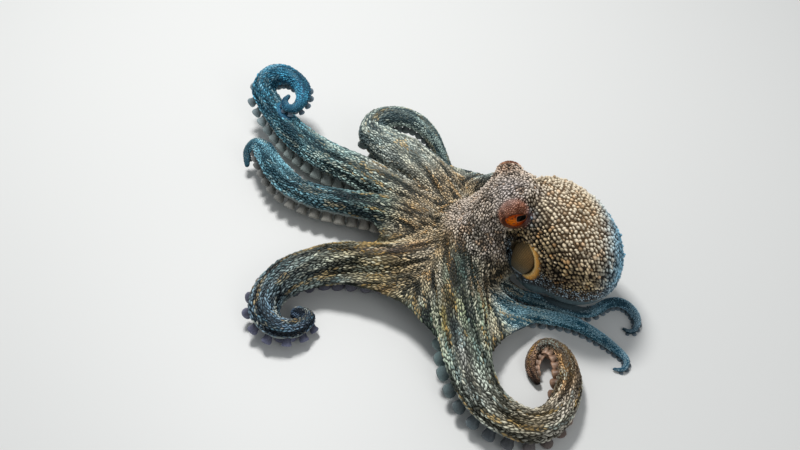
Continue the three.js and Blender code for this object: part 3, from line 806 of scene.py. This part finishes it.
def pastOpening(places):  # millimetres outside the round opening of the mantle
    return distanceFrom(places, mantle["openingCentre"]) - mantle["openingRadius"]


def bareShares(places, facing, body):  # lip, bowl, belly and soles, which carry no grains
    around = unit(places - place(mantle["openingCentre"])) @ unit(np.array(mantle["lipSide"]))
    past = pastOpening(places)
    bowl = smoothStep(1.2, 0.4, past)
    lip = smoothStep(0.6, -0.6, past - mantle["lipWidth"] * smoothStep(-0.15, 0.45, around)) * (1 - bowl)
    lip *= smoothStep(-0.1, 0.1, around)
    belly = body["parts"]["mantle"] * smoothStep(0.22, 0.36, body["low"]) * (1 - bowl) * (1 - lip)
    sole = body["parts"]["arm"] * smoothStep(0.3, 0.6, (facing * unit(body["sole"])).sum(1))
    return {"lip": lip, "bowl": bowl, "belly": belly, "sole": sole}


def thicknessAt(places, facing, most=20):  # of the flesh, measured upright, in millimetres
    tree = BVHTree.FromObject(skin, bpy.context.evaluated_depsgraph_get())
    thick = np.zeros(len(places))
    inset = 1.2 * mm
    for k, start in enumerate(places - facing * inset):
        for way in (-1, 1):
            distance = tree.ray_cast(Vector(start), Vector((0, 0, way)), most * mm)[3]
            thick[k] += most if distance is None else distance / mm
    return thick


def foldSkin(places, facing, body, plain):
    depth = sum(body["parts"][part] * deep for part, deep in folds["depth"].items())
    depth *= (np.clip(body["thick"] / folds["thickArm"], 0.2, 1) * plain
              * smoothStep(*folds["aboveFloor"], places[:, 2] / mm))
    depth *= smoothStep(*folds["flesh"], thicknessAt(places, facing))
    onHead = body["parts"]["head"]
    wrinkle = (0.7 * body["fold"] + 0.6 * body["broad"]) * (1 - onHead)
    wrinkle += onHead * (0.6 * patchNoise(places, 4.5, 9) + 0.5 * patchNoise(places, 9, 8))
    setVertexPlaces(skin.data, places + facing * (depth * np.clip(wrinkle, *folds["range"]) * mm)[:, None])
    return wrinkle


def markAndShadeSkin(places, body, bare, wrinkle):
    # The skin's groove colour with streaks, darker in the folds' valleys and lighter on their ridges as
    # painted shade and light
    shade = body["grooves"] * np.exp(0.3 * body["a"] + 0.5 * np.clip(wrinkle, -1.2, 0.6))[:, None] * 0.7
    for name, share in bare.items():
        shade = blend(shade, barePaint[name], share)
    past = pastOpening(places)
    onLip = lipPaint["strength"] * bare["lip"]
    shade = blend(shade, lipPaint["outer"], onLip * smoothStep(4.4, 6.8, past))
    # Painted highlight along the lip's inner edge
    shade = blend(shade, lipPaint["inner"], onLip * smoothStep(4, 1, past))
    near = np.exp(-(distanceFrom(places, glint["place"]) / glint["radius"]) ** 2)
    paint(skin, "markingsAndPaintedLight", blend(shade, glint["colour"], glint["strength"] * near))


def dressSkin():
    places, facing = vertexPlaces(skin.data), vertexNormals(skin.data)
    body = bodyMap(places, painted=True)
    bare = bareShares(places, facing, body)
    wrinkle = foldSkin(places, facing, body, 1 - np.clip(sum(bare.values()), 0, 1))
    markAndShadeSkin(vertexPlaces(skin.data), body, bare, wrinkle)


dressSkin()
skinPlaces, skinFacing = vertexPlaces(skin.data), vertexNormals(skin.data)
print("skin folded and marked")

chartRules = {"faces": 6000, "patch": 0.003}  # faces of the skin's unwrapped copy, and a grain's width on it


def unwrapSkin():
    selectOnly(skin)
    bpy.ops.object.duplicate()
    chart = bpy.context.object
    applyModifier(chart, "DECIMATE", ratio=chartRules["faces"] / len(chart.data.polygons))
    bpy.ops.object.mode_set(mode="EDIT")
    bpy.ops.mesh.select_all(action="SELECT")
    bpy.ops.uv.smart_project(angle_limit=1.15, island_margin=0.004, scale_to_bounds=True)
    bpy.ops.object.mode_set(mode="OBJECT")
    mesh = chart.data
    mesh.calc_loop_triangles()
    flat = mesh.uv_layers.active.uv
    corners = [[Vector(mesh.vertices[v].co) for v in tri.vertices] for tri in mesh.loop_triangles]
    spots = [[Vector((*flat[k].vector, 0)) for k in tri.loops] for tri in mesh.loop_triangles]
    tree = BVHTree.FromPolygons([v for tri in corners for v in tri],
                                [(3 * k, 3 * k + 1, 3 * k + 2) for k in range(len(corners))])
    bpy.data.objects.remove(chart)
    return tree, corners, spots


chartTree, chartCorners, chartSpots = unwrapSkin()


def chartPlaces(places):
    found = []
    for point in places:
        near, _, index, _ = chartTree.find_nearest(Vector(point))
        found.append(barycentric_transform(near, *chartCorners[index], *chartSpots[index])[:2])
    return np.array(found)


print("skin unwrapped")

grainRules = {
    "passes": [(1.4, 50000), (1.05, 180000), (0.75, 220000), (0.52, 110000)],  # size and number of tries
    "seed": 11,
    "spacing": (0.7, 0.9),  # along and across the lie, in grain sizes
    "sides": 6,
    "rings": [(0.98, -0.35), (0.8, 0.45), (0.32, 1.0)],  # radius and height
    "rowGap": (3.9, 4.1),  # between and along the mantle's rows
    "inRows": {"spacing": (0.45, 0.55), "variety": 0.25},
    "rowJitter": 0.16,
    "thickArm": 14, "slimArm": 0.34,  # the radius with grains of full size, and the least share of it
    "lowShrink": 0.55,  # low on the mantle
    "aboveFloor": 2, "offLid": 1.1, "eyeReach": 16,  # millimetres
    "offSkin": 3,  # how far in millimetres the skin may lie from a row's place
    "cell": 6,  # millimetres, wider than the longest reach between two grains
    "rim": 5,  # millimetres of flesh, under which an edge stays free of grains
    "tall": 0.08,  # share of grains that stand up as papillae
    "tallness": 1.6, "height": (0.75, 1.25),  # shares of the usual height
    "turn": 13,  # degrees off the lie
    "bulge": (0.76, 1.22),
}
chance = np.random.default_rng(grainRules["seed"])


def raiseRings(sides, rings):  # a flat face raised from ring to ring
    (radius, low), *others = rings
    bpy.ops.mesh.primitive_circle_add(vertices=sides, radius=radius, fill_type="NGON", location=(0, 0, low))
    shape = bpy.context.object
    bpy.ops.object.mode_set(mode="EDIT")
    for after, high in others:
        bpy.ops.mesh.extrude_region_move(TRANSFORM_OT_translate={"value": (0, 0, high - low)})
        bpy.ops.transform.resize(value=(after / radius, after / radius, 1))
        radius, low = after, high
    bpy.ops.object.mode_set(mode="OBJECT")
    faceOutwards(shape)
    return shape


def takeTemplate(shape):  # its points and faces, for copies
    points = vertexPlaces(finishShape(shape).data)
    faces = [tuple(face.vertices) for face in shape.data.polygons]
    bpy.data.objects.remove(shape)
    return points, faces


def grainTemplate():  # a low dome with a tucked in foot
    dome = raiseRings(grainRules["sides"], grainRules["rings"])
    bpy.ops.object.mode_set(mode="EDIT")
    bpy.ops.mesh.quads_convert_to_tris()
    bpy.ops.object.mode_set(mode="OBJECT")
    return takeTemplate(dome)


def spread(count):  # places over the skin, by area
    mesh = skin.data
    mesh.calc_loop_triangles()
    corners = np.empty(len(mesh.loop_triangles) * 3, np.int32)
    mesh.loop_triangles.foreach_get("vertices", corners)
    corners = corners.reshape(-1, 3)
    points = skinPlaces[corners]
    areas = np.linalg.norm(np.cross(points[:, 1] - points[:, 0], points[:, 2] - points[:, 0]), axis=1)
    chosen = chance.choice(len(corners), count, p=areas / areas.sum())
    u = np.sqrt(chance.random((count, 1)))
    v = chance.random((count, 1))
    share = np.hstack([1 - u, u * (1 - v), u * v])
    where = (points[chosen] * share[..., None]).sum(1)
    return where, unit((skinFacing[corners[chosen]] * share[..., None]).sum(1))


def mantleRows():  # staggered places in rows that run from the neck to the rear end, set on the skin
    tree = BVHTree.FromObject(skin, bpy.context.evaluated_depsgraph_get())
    between, along = grainRules["rowGap"]
    lines = int(2 * math.pi * mantle["halfWidth"] / between)
    steps = int(math.pi * mantleHalf[2] / mm / along)
    line, step = np.meshgrid(np.arange(lines), np.arange(steps), indexing="ij")
    jitter = grainRules["rowJitter"]
    turn = (step + 0.5 * (line % 2) + chance.normal(0, jitter, line.shape)) / steps * math.pi
    angle = (line + chance.normal(0, jitter, line.shape)) / lines * 2 * math.pi + 0.5 * np.sin(turn)
    local = np.stack([np.sin(turn) * np.cos(angle), np.sin(turn) * np.sin(angle), -np.cos(turn)], -1)
    local = local.reshape(-1, 3) * mantleHalf
    places = (mantleFront + mantleRear) / 2 + local @ np.stack([mantleSide, mantleUp, mantleForward])
    found = [tree.find_nearest(Vector(p)) for p in places]
    near = np.array([tuple(hit[0]) for hit in found])
    facing = np.array([tuple(hit[1]) for hit in found])
    kept = np.linalg.norm(near - places, axis=1) < grainRules["offSkin"] * mm
    order = chance.permutation(kept.sum())
    return near[kept][order], facing[kept][order]


def sizesAt(body):
    sizes = sum(body["parts"][part][:, None] * np.array(size) for part, size in grainSize.items())
    thin = np.clip(body["thick"] / grainRules["thickArm"], grainRules["slimArm"], 1.1)
    small = body["parts"]["arm"] * (1 - thin)
    small += grainRules["lowShrink"] * body["parts"]["mantle"] * smoothStep(-0.35, 0.05, body["low"])
    return sizes * (1 - small)[:, None]


def keepGrain(where, facing, body):
    keep = (where[:, 2] > grainRules["aboveFloor"] * mm) & (facing[:, 2] > -0.6)
    bare = bareShares(where, facing, body)
    keep &= sum(bare.values()) < 0.4
    for side in ("left", "right"):
        offEye = distanceFrom(where, eyes[side]["centre"]) > grainRules["eyeReach"]
        keep &= (pastLidEdge(side, where) > grainRules["offLid"]) | offEye
    return keep


cellsAround = [(i, j, k) for i in (-1, 0, 1) for j in (-1, 0, 1) for k in (-1, 0, 1)]


def clearOf(taken, key, p, f, size, reach):  # whether no grain so far comes too near
    x, y, z = p
    for i, j, k in cellsAround:
        for qx, qy, qz, a, b in taken.get((key[0] + i, key[1] + j, key[2] + k), ()):
            dx, dy, dz = x - qx, y - qy, z - qz
            run = dx * f[0] + dy * f[1] + dz * f[2]
            apart = dx * dx + dy * dy + dz * dz
            long = (a + size[0]) / 2 * reach[0]
            wide = (b + size[1]) / 2 * reach[1]
            if run * run / (long * long) + (apart - run * run) / (wide * wide) < 1:
                return False
    return True


def pickGrains(where, facing, scale, taken, spacing=grainRules["spacing"], variety=0.2):
    body = bodyMap(where)
    keep = keepGrain(where, facing, body) & ((scale <= 1) | (body["parts"]["mantle"] < 0.5))
    where, facing, flow = where[keep], facing[keep], body["flow"][keep]
    sizes = sizesAt(body)[keep] * scale * chance.uniform(1 - variety, 1 + variety, (keep.sum(), 3))
    flow = unit(flow - facing * (flow * facing).sum(1)[:, None])
    cell = grainRules["cell"] * mm
    chosen = []
    for k, (p, f, size) in enumerate(zip(where.tolist(), flow.tolist(), (sizes * mm).tolist())):
        key = (int(p[0] // cell), int(p[1] // cell), int(p[2] // cell))
        if clearOf(taken, key, p, f, size, spacing):
            taken.setdefault(key, []).append((*p, size[0], size[1]))
            chosen.append(k)
    return {"where": where[chosen], "facing": facing[chosen], "flow": flow[chosen], "sizes": sizes[chosen]}


def pickAllGrains():  # the mantle's rows first, then the others from the largest to the smallest
    taken = {}
    picked = [pickGrains(*mantleRows(), 1.0, taken, **grainRules["inRows"])]
    for scale, tries in grainRules["passes"]:
        picked.append(pickGrains(*spread(tries), scale, taken))
        print("grains placed", sum(len(part["where"]) for part in picked))
    grains = {key: np.concatenate([part[key] for part in picked]) for key in picked[0]}
    thin = thicknessAt(grains["where"], grains["facing"]) < grainRules["rim"]
    onRim = (grains["facing"][:, 2] < 0.5) & thin
    return {key: values[~onRim] for key, values in grains.items()}


def joinedCopies(name, points, faces, colours, chart=None, template=None):  # points: copies x corners x 3
    count, corners = points.shape[:2]
    points[..., 2] = np.maximum(points[..., 2], 0.1 * mm)  # nothing reaches into the floor
    allFaces = [tuple(corner + k * corners for corner in face) for k in range(count) for face in faces]
    piece = meshPiece(name, points.reshape(-1, 3), allFaces)
    smoothFaces(piece)
    paint(piece, "markingsAndPaintedLight", colours.reshape(-1, 3))
    if chart is not None:
        layer = piece.data.uv_layers.new(name="OFBake")
        patch = chart[:, None] + template[None, :, :2] * chartRules["patch"] / 2
        loops = np.empty(len(piece.data.loops), np.int32)
        piece.data.loops.foreach_get("vertex_index", loops)
        layer.uv.foreach_set("vector", patch.reshape(-1, 2)[loops].astype(np.float32).ravel())
    return piece


def grainColours(body, count):
    tone = body["tone"] * chance.lognormal(0, 0.17, count)
    cells = body["cells"] * np.clip(tone, 0.3, 1.9)[:, None]
    for part, layers in pigments.items():
        for key, (code, start, strength) in zip("abcd", layers):
            level = body[key] + chance.normal(0, 0.18, count)
            share = strength * smoothStep(start, start + 0.3, level) * body["parts"][part]
            if part == "arm":
                share *= body["warmth"]
            share *= 1 - 0.9 * body["cool"]
            cells = cells * (1 - share)[:, None] + colour(code) * (share * np.clip(tone, 0.5, 1.2))[:, None]
    low = body["parts"]["mantle"] * smoothStep(-0.18, 0.05, body["low"])
    # The low mantle's cells are dulled towards dark blue-grey, partly their own colour and partly painted
    # shade; the bright dots are a pattern
    cells = blend(cells, lowDots["dull"], lowDots["strength"] * low)
    cells = blend(cells, lowDots["bright"], low * (chance.random(count) < lowDots["share"]))
    dark = smoothStep(darkCells["start"], darkCells["start"] + 0.3,
                      0.8 * body["fine"] - 0.7 * body["fold"] + chance.normal(0, 0.2, count))
    onBody = body["parts"]["mantle"] + body["parts"]["head"]
    dark *= darkCells["strength"] * (1 - darkCells["sparing"] * onBody)
    cells = cells * (1 - dark)[:, None] + 1.1 * body["grooves"] * dark[:, None]
    return cells / np.maximum(cells.max(1, keepdims=True) / 0.88, 1)  # the lightest keep their hue


def shapeGrains(template, grains, parts):  # each a little turned, uneven and high in its own way
    count, sides = len(grains["where"]), grainRules["sides"]
    side = np.round(np.arctan2(template[:, 1], template[:, 0]) / (2 * math.pi) * sides).astype(int)
    bulge = chance.uniform(*grainRules["bulge"], (count, sides))[:, side % sides]
    turn = np.radians(chance.normal(0, grainRules["turn"], count))[:, None]
    across = unit(np.cross(grains["facing"], grains["flow"]))
    flowWay = grains["flow"] * np.cos(turn) + across * np.sin(turn)
    acrossWay = across * np.cos(turn) - grains["flow"] * np.sin(turn)
    size = grains["sizes"] * mm
    tall = chance.random(count) < grainRules["tall"]
    tall &= (parts["arm"] < 0.5) & (parts["lid"] < 0.2)
    size[:, 2] *= np.where(tall, grainRules["tallness"], 1) * chance.uniform(*grainRules["height"], count)
    points = (flowWay * size[:, :1] / 2)[:, None] * (template[None, :, 0] * bulge)[..., None]
    points += (acrossWay * size[:, 1:2] / 2)[:, None] * (template[None, :, 1] * bulge)[..., None]
    shadeTilt = points[..., 2] / np.abs(points[..., 2]).max(1, keepdims=True)  # how far each corner looks down, which sets its painted shade
    points += (grains["facing"] * size[:, 2:3])[:, None] * template[None, :, 2:] + grains["where"][:, None]
    return points, shadeTilt


def shadeGrains(template, cells, body):  # painted shade: groove coloured at the foot and darker up the sides; painted highlight: the top a little lighter than the cell
    shade = 0.04 + 1.06 * smoothStep(-0.1, 1.0, template[:, 2])
    shade = (shade[None] ** (1.1 + 0.6 * body["parts"]["mantle"])[:, None])[..., None]
    return 0.8 * body["grooves"][:, None] * (1 - shade) + cells[:, None] * shade


def groupGrains(grains, body):  # by the part they lie on
    onMantle = body["parts"]["mantle"] > 0.5
    onTop = ~onMantle & (body["parts"]["arm"] < 0.6)
    leftward = grains["where"][:, 1] < place(regions["crownMiddle"])[1]
    groups = {"grains_mantle": onMantle, "grains_head_left": onTop & leftward,
              "grains_head_right": onTop & ~leftward}
    for number, name in enumerate(armLines):
        groups["grains_" + name] = ~onMantle & ~onTop & (body["nearest"] == number)
    return groups


def buildCoat():
    grains = pickAllGrains()
    template, faces = grainTemplate()
    body = bodyMap(grains["where"], painted=True)
    colours = shadeGrains(template, grainColours(body, len(grains["where"])), body)
    points, shadeTilt = shapeGrains(template, grains, body["parts"])
    # Painted shade on each grain's downhill side, a slight painted highlight on its uphill side
    colours *= (1 + 0.35 * np.clip(shadeTilt, -1, 0.3))[..., None]
    chart = chartPlaces(grains["where"])
    coat = []
    for name, mask in groupGrains(grains, body).items():
        coat.append(joinedCopies(name, points[mask], faces, colours[mask], chart[mask], template))
        print(name, mask.sum(), "grains", mask.sum() * len(faces), "triangles")
    return coat


coat = buildCoat()

sucker = {
    "width": 2.5, "taper": 0.56,  # rim diameter from the arm's radius
    "depth": 1.08, "root": 0.45, "spread": 0.5,  # in arm radii
    "turned": {"l3": (0.66, 0.76, -34)},  # rows turned up past a share of the length, in degrees
    "first": 0.08, "last": 0.985,  # shares of the arm's length
    "pitch": 1.06, "smallest": 1.8, "sides": 12, "lean": 0.2, "wobble": 0.05,
    "profile": [(0.78, -0.1), (0.74, 0.45), (0.97, 0.84), (0.93, 1.03), (0.64, 0.95), (0.28, 0.62)],
    # Colour factor for each ring of the profile: painted shade at the foot and inside the cup, a painted
    # highlight on the rim
    "shade": (0.5, 0.6, 1.1, 1.35, 0.85, 0.45),
}
suckerPaint = {
    "l1": ["#8f8a80", "#8c8a82", "#74787a"], "l2": ["#7a7678", "#686878", "#5c6078"],
    "l3": ["#7c8c84", "#687c7c", "#565c62", "#9a7860", "#caa890"], "l4": ["#7c8a90", "#6c7c88"],
    "r4": ["#7c8a90", "#6c7c88"], "r3": ["#808a88", "#70808a"], "r2": ["#8c908a", "#7c8a90"],
    "r1": ["#9a9a90", "#8c9896", "#70869a"],
}


def buildSuckers():  # two staggered rows along every arm
    template, faces = takeTemplate(raiseRings(sucker["sides"], sucker["profile"]))
    ring = np.arange(len(template)) // sucker["sides"]
    ring = np.interp(ring, range(len(sucker["shade"])), sucker["shade"])
    points, colours = [], []
    for name, line in armLines.items():
        travelled, index = sucker["first"] * line["length"], 0
        while travelled < sucker["last"] * line["length"]:
            row = line["at"](travelled / line["length"])
            radius = row["radius"][0]
            width = sucker["width"] * radius ** sucker["taper"]
            start, full, most = sucker["turned"].get(name, (1, 2, 0))
            twist = math.radians(most * smoothStep(start, full, travelled / line["length"]))
            side = row["side"][0] * math.cos(twist) + row["up"][0] * math.sin(twist)
            up = row["up"][0] * math.cos(twist) - row["side"][0] * math.sin(twist)
            lean = 1 if index % 2 else -1
            centre = row["axis"][0] + side * lean * sucker["spread"] * radius - up * sucker["root"] * radius
            out = unit(-up + side * lean * sucker["lean"])
            sideWay = unit(side - out * (side @ out))
            acrossWay = np.cross(out, sideWay)
            long = (sucker["depth"] - sucker["root"]) * radius
            wave = np.sin(3 * np.arctan2(template[:, 1], template[:, 0]) + chance.uniform(0, 6))
            rim = 1 + sucker["wobble"] * wave
            cup = (template[:, :1] * sideWay + template[:, 1:2] * acrossWay) * rim[:, None] * width / 2
            points.append(place(centre + cup + template[:, 2:] * out * long))
            code = fromPalette(suckerPaint[name], np.array([travelled / line["length"]]))
            colours.append(code * (ring * chance.lognormal(0, 0.12))[:, None])
            travelled += sucker["pitch"] * max(width, sucker["smallest"]) / 2
            index += 1
    print("suckers", len(points))
    return joinedCopies("suckers", np.array(points), faces, np.array(colours))


suckers = buildSuckers()

siphon = {
    "root": (61, -50, 68), "mouth": (45, -63, 50), "rootRadius": 15, "mouthRadius": 5.5, "roundness": 2.6,
    "rimFrom": 0.95, "rimRadius": 1.3, "rimInset": 1.2, "bore": 3.4, "boreDepth": 8, "boreTaper": 0.3,
    "sides": 192, "ridges": 44, "ridge": 0.16,
}
siphonPaint = {
    "along": ["#54482c", "#665434", "#6a5a3c", "#7c7666"],
    # The bore is nearly black as painted shade; the glow is a painted glow of orange light near the lip
    "rim": ("#b4c4ce", 0.6), "bore": ("#14120e", 0.9), "glow": ("#8c6634", 0.7),  # with their strengths
    # Painted shade darkens the tube further from the lip
    "glowPlace": (58, -62, 67), "glowReach": 10, "paintedShade": 0.55, "paintedShadeFrom": (8, 26),
}


def siphonProfile(length):  # distances along the tube and radii of its outside, rim and bore
    narrow = siphon["rootRadius"] - siphon["mouthRadius"]
    outer = [(share * length, siphon["rootRadius"] - narrow * share ** siphon["roundness"])
             for share in np.linspace(0, siphon["rimFrom"], 24)]
    middle, bead = siphon["mouthRadius"] - siphon["rimInset"], siphon["rimRadius"]
    rim = [(length * siphon["rimFrom"] + math.sin(angle) * bead, middle + math.cos(angle) * bead)
           for angle in np.linspace(0.2, math.pi - 0.3, 7)]
    inner = [(length - depth, siphon["bore"] * (1 - siphon["boreTaper"] * depth / siphon["boreDepth"]))
             for depth in np.linspace(1, siphon["boreDepth"], 8)]
    return {"outside": outer, "rim": rim, "bore": inner}


def shadeSiphon(part, share, places, ridge):
    # Each ridge is lighter on its crest and darker in its trough, as painted light and shade
    shade = fromPalette(siphonPaint["along"], np.array([share])) * (1 + 1.8 * ridge)[:, None]
    # Painted shade away from the lip, a painted glow near it
    away = np.linalg.norm(places - place(siphonPaint["glowPlace"]) / mm, axis=1)
    shade = shade * (1 - siphonPaint["paintedShade"] * smoothStep(*siphonPaint["paintedShadeFrom"], away))[:, None]
    glow, strength = siphonPaint["glow"]
    near = np.exp(-(away / siphonPaint["glowReach"]) ** 2)
    shade = blend(shade, glow, strength * near * (1 + 2 * ridge))
    if part in ("rim", "bore"):
        shade = blend(shade, *siphonPaint["rim"])
    # The bore is painted nearly black, as painted shade inside the tube
    if part == "bore":
        shade = blend(shade, *siphonPaint["bore"])
    return shade


def buildSiphon():
    root, mouth = place(siphon["root"]) / mm, place(siphon["mouth"]) / mm
    length = np.linalg.norm(mouth - root)
    forward = unit(mouth - root)
    side = unit(np.cross(forward, (0, 0, 1)))
    up = np.cross(side, forward)
    angles = np.arange(siphon["sides"]) / siphon["sides"] * 2 * math.pi
    spokes = side * np.cos(angles)[:, None] + up * np.sin(angles)[:, None]
    rings, colours = [], []
    for part, profile in siphonProfile(length).items():
        for run, radius in profile:
            ridge = siphon["ridge"] * np.cos(siphon["ridges"] * angles + 1.5 * np.sin(3 * angles) + run / 5)
            rings.append(root + forward * run + spokes * (radius + ridge)[:, None])
            colours.append(shadeSiphon(part, run / length, rings[-1], ridge))
    piece = meshPiece("siphon_tube", np.vstack(rings) * mm, loftFaces(len(rings), siphon["sides"]))
    faceOutwards(piece)
    smoothFaces(piece)
    paint(piece, "markingsAndPaintedLight", np.vstack(colours))
    return piece


siphonTube = buildSiphon()
print("siphon shaped")

# Places on the eyeball are millimetres right of and above its outward point.
eyeLook = {
    "pupil": (6.0, -1.9), "pupilHalf": (5.0, 2.9), "squareness": 3.4, "dent": 0.02, "edge": 0.07,
    "sag": 0.22,  # how far the slit's lower edge drops towards the front
    "bright": (-2.8, -4.8), "brightReach": (7.5, 1.5), "darkFrom": (6, 11.5), "streaks": 40,
    "flecks": "#4a2a1e", "iris": "#c44c0c", "flame": "#ff8a14", "dark": "#5c1c08", "rim": "#f0c090",
    "black": "#040404",
}


def paintEye(side, places):  # how far each place lies in the slit, and the colours
    x, y, z = eyeOffsets(side, places)
    (px, py), (pw, ph) = eyeLook["pupil"], eyeLook["pupilHalf"]
    tall = ph - np.where(y < py, eyeLook["sag"] * (x - px), 0)
    power = eyeLook["squareness"]
    squared = (np.abs((x - px) / pw) ** power + np.abs((y - py) / tall) ** power) ** (1 / power)
    slit = smoothStep(1.05, 0.9, squared) * (z > 0)
    around = np.arctan2(y - py, x - px)
    wave = eyeLook["streaks"] * around + 3 * np.sin(5 * around) + 2 * patchNoise(places, 2, 3)
    streak = 0.5 + 0.5 * np.cos(wave)
    mixed = np.tile(colour(eyeLook["iris"]), (len(places), 1))
    mixed = blend(mixed, eyeLook["dark"], 0.35 * streak)
    bx, by = eyeLook["bright"]
    flame = smoothStep(*eyeLook["brightReach"], np.hypot(x - bx, (y - by) * 1.3))
    mixed = blend(mixed, eyeLook["flame"], 0.75 * flame * (1 - 0.5 * streak))
    mixed = blend(mixed, eyeLook["dark"], 0.8 * smoothStep(*eyeLook["darkFrom"], np.hypot(x - bx, y - by)))
    flecks = 0.8 * smoothStep(0.2, 0.75, patchNoise(places, 1.3, 4)) * (x < px - 3)
    mixed = blend(mixed, eyeLook["flecks"], flecks)
    edge = smoothStep(1.0 + eyeLook["edge"], 1.02, squared) * (1 - slit) * (z > 0)
    mixed = blend(mixed, eyeLook["rim"], 0.45 * edge)
    return slit, blend(mixed, eyeLook["black"], slit)


def buildEye(side):
    out = Vector(eyes[side]["outward"])
    bpy.ops.mesh.primitive_uv_sphere_add(
        segments=128, ring_count=96, radius=(eyes["radius"] - 0.1) * mm, location=place(eyes[side]["centre"]),
        rotation=out.to_track_quat("Z", "Y").to_euler())
    eyeball = finishShape(bpy.context.object)
    eyeball.name = "eye_ball_" + side
    places = vertexPlaces(eyeball.data)
    slit, colours = paintEye(side, places)
    middle = place(eyes[side]["centre"])
    setVertexPlaces(eyeball.data, middle + (places - middle) * (1 - eyeLook["dent"] * slit)[:, None])
    smoothFaces(eyeball)
    paint(eyeball, "markingsAndPaintedLight", colours)
    return eyeball


eyeBalls = {side: buildEye(side) for side in ("left", "right")}
print("eyes set")

bumpDepth = 0.0004
finishes = {  # roughness, shine, bump strength, noise scale and how much it varies the colour
    "wetSkin": (0.45, 0.14, 0.6, 1100, 0.3), "grainSkin": (0.4, 0.24, 0.45, 1500, 0.25),
    "suckerSkin": (0.42, 0.35, 0.35, 900, 0.2), "eyeGloss": (0.06, 0.12, 0.0, 1600, 0.1),
    "siphonSkin": (0.4, 0.25, 0.4, 1400, 0.3),
}


def newPaint(name):
    roughness, shine, bump, scale, variety = finishes[name]
    paintwork = bpy.data.materials.new(name)
    paintwork.use_nodes = True
    nodes, links = paintwork.node_tree.nodes, paintwork.node_tree.links
    shader = nodes["Principled BSDF"]
    shader.inputs["Roughness"].default_value = roughness
    shader.inputs["Specular IOR Level"].default_value = shine
    # The colour attribute holds the markings together with painted light and shade
    markingsAndPaintedLight = nodes.new("ShaderNodeAttribute")
    markingsAndPaintedLight.attribute_name = "markingsAndPaintedLight"
    places = nodes.new("ShaderNodeTexCoord")
    speckle = nodes.new("ShaderNodeTexNoise")
    speckle.inputs["Scale"].default_value = scale
    speckle.inputs["Detail"].default_value = 3
    links.new(places.outputs["Object"], speckle.inputs["Vector"])
    level = nodes.new("ShaderNodeMapRange")
    level.inputs["From Min"].default_value = 0.3
    level.inputs["From Max"].default_value = 0.7
    level.inputs["To Min"].default_value = 1 - variety
    level.inputs["To Max"].default_value = 1 + variety
    links.new(speckle.outputs["Fac"], level.inputs["Value"])
    tinted = nodes.new("ShaderNodeVectorMath")
    tinted.operation = "SCALE"
    links.new(markingsAndPaintedLight.outputs["Color"], tinted.inputs[0])
    links.new(level.outputs["Result"], tinted.inputs["Scale"])
    links.new(tinted.outputs["Vector"], shader.inputs["Base Color"])
    relief = nodes.new("ShaderNodeBump")
    relief.inputs["Strength"].default_value = bump
    relief.inputs["Distance"].default_value = bumpDepth
    links.new(speckle.outputs["Fac"], relief.inputs["Height"])
    links.new(relief.outputs["Normal"], shader.inputs["Normal"])
    return paintwork


paints = {name: newPaint(name) for name in finishes}
fleshNodes = [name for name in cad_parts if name.split("_")[0] in ("arm", "web", "head", "mantle")]
dressed = [(skin, "wetSkin", "skin", fleshNodes), (suckers, "suckerSkin", "sucker", []),
           (siphonTube, "siphonSkin", "siphon_skin", ["siphon"])]
dressed += [(piece, "grainSkin", "skin", []) for piece in coat]
dressed += [(eyeBalls[side], "eyeGloss", "eye", ["eye_" + side]) for side in ("left", "right")]
for piece, finish, slot, nodes in dressed:
    piece.data.materials.clear()
    piece.data.materials.append(paints[finish])
    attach(piece, "root")
    if nodes:
        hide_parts(*nodes)
print("finishes laid on")

floorLook = {"size": 8, "colour": (0.78, 0.78, 0.76, 1)}
bpy.ops.mesh.primitive_plane_add(size=floorLook["size"], location=(0, 0, 0))
floor = bpy.context.object
floor.name = "floor"
floorPaint = bpy.data.materials.new("floorPaint")
floorPaint.use_nodes = True
floorPaint.node_tree.nodes["Principled BSDF"].inputs["Base Color"].default_value = floorLook["colour"]
floor.data.materials.append(floorPaint)

lamps = {  # place, size and power
    "keyLamp": ((-0.3, 0.65, 1.4), 0.35, 19), "fillLamp": ((0.7, -1.1, 1.1), 0.7, 3.2),
}


def addLamp(name):
    location, width, power = lamps[name]
    bpy.ops.object.light_add(type="AREA", location=location)
    lamp = bpy.context.object
    lamp.name = name
    lamp.data.size = width
    lamp.data.energy = power
    lamp.rotation_euler = (-Vector(location)).to_track_quat("-Z", "Y").to_euler()


for name in lamps:
    addLamp(name)
sky = {"colour": (0.9, 0.95, 1, 1), "strength": 0.3}
world = bpy.data.worlds.new("world")
scene.world = world
world.use_nodes = True
background = world.node_tree.nodes["Background"]
background.inputs["Color"].default_value = sky["colour"]
background.inputs["Strength"].default_value = sky["strength"]
scene.view_settings.view_transform = "Standard"
print("lights set")
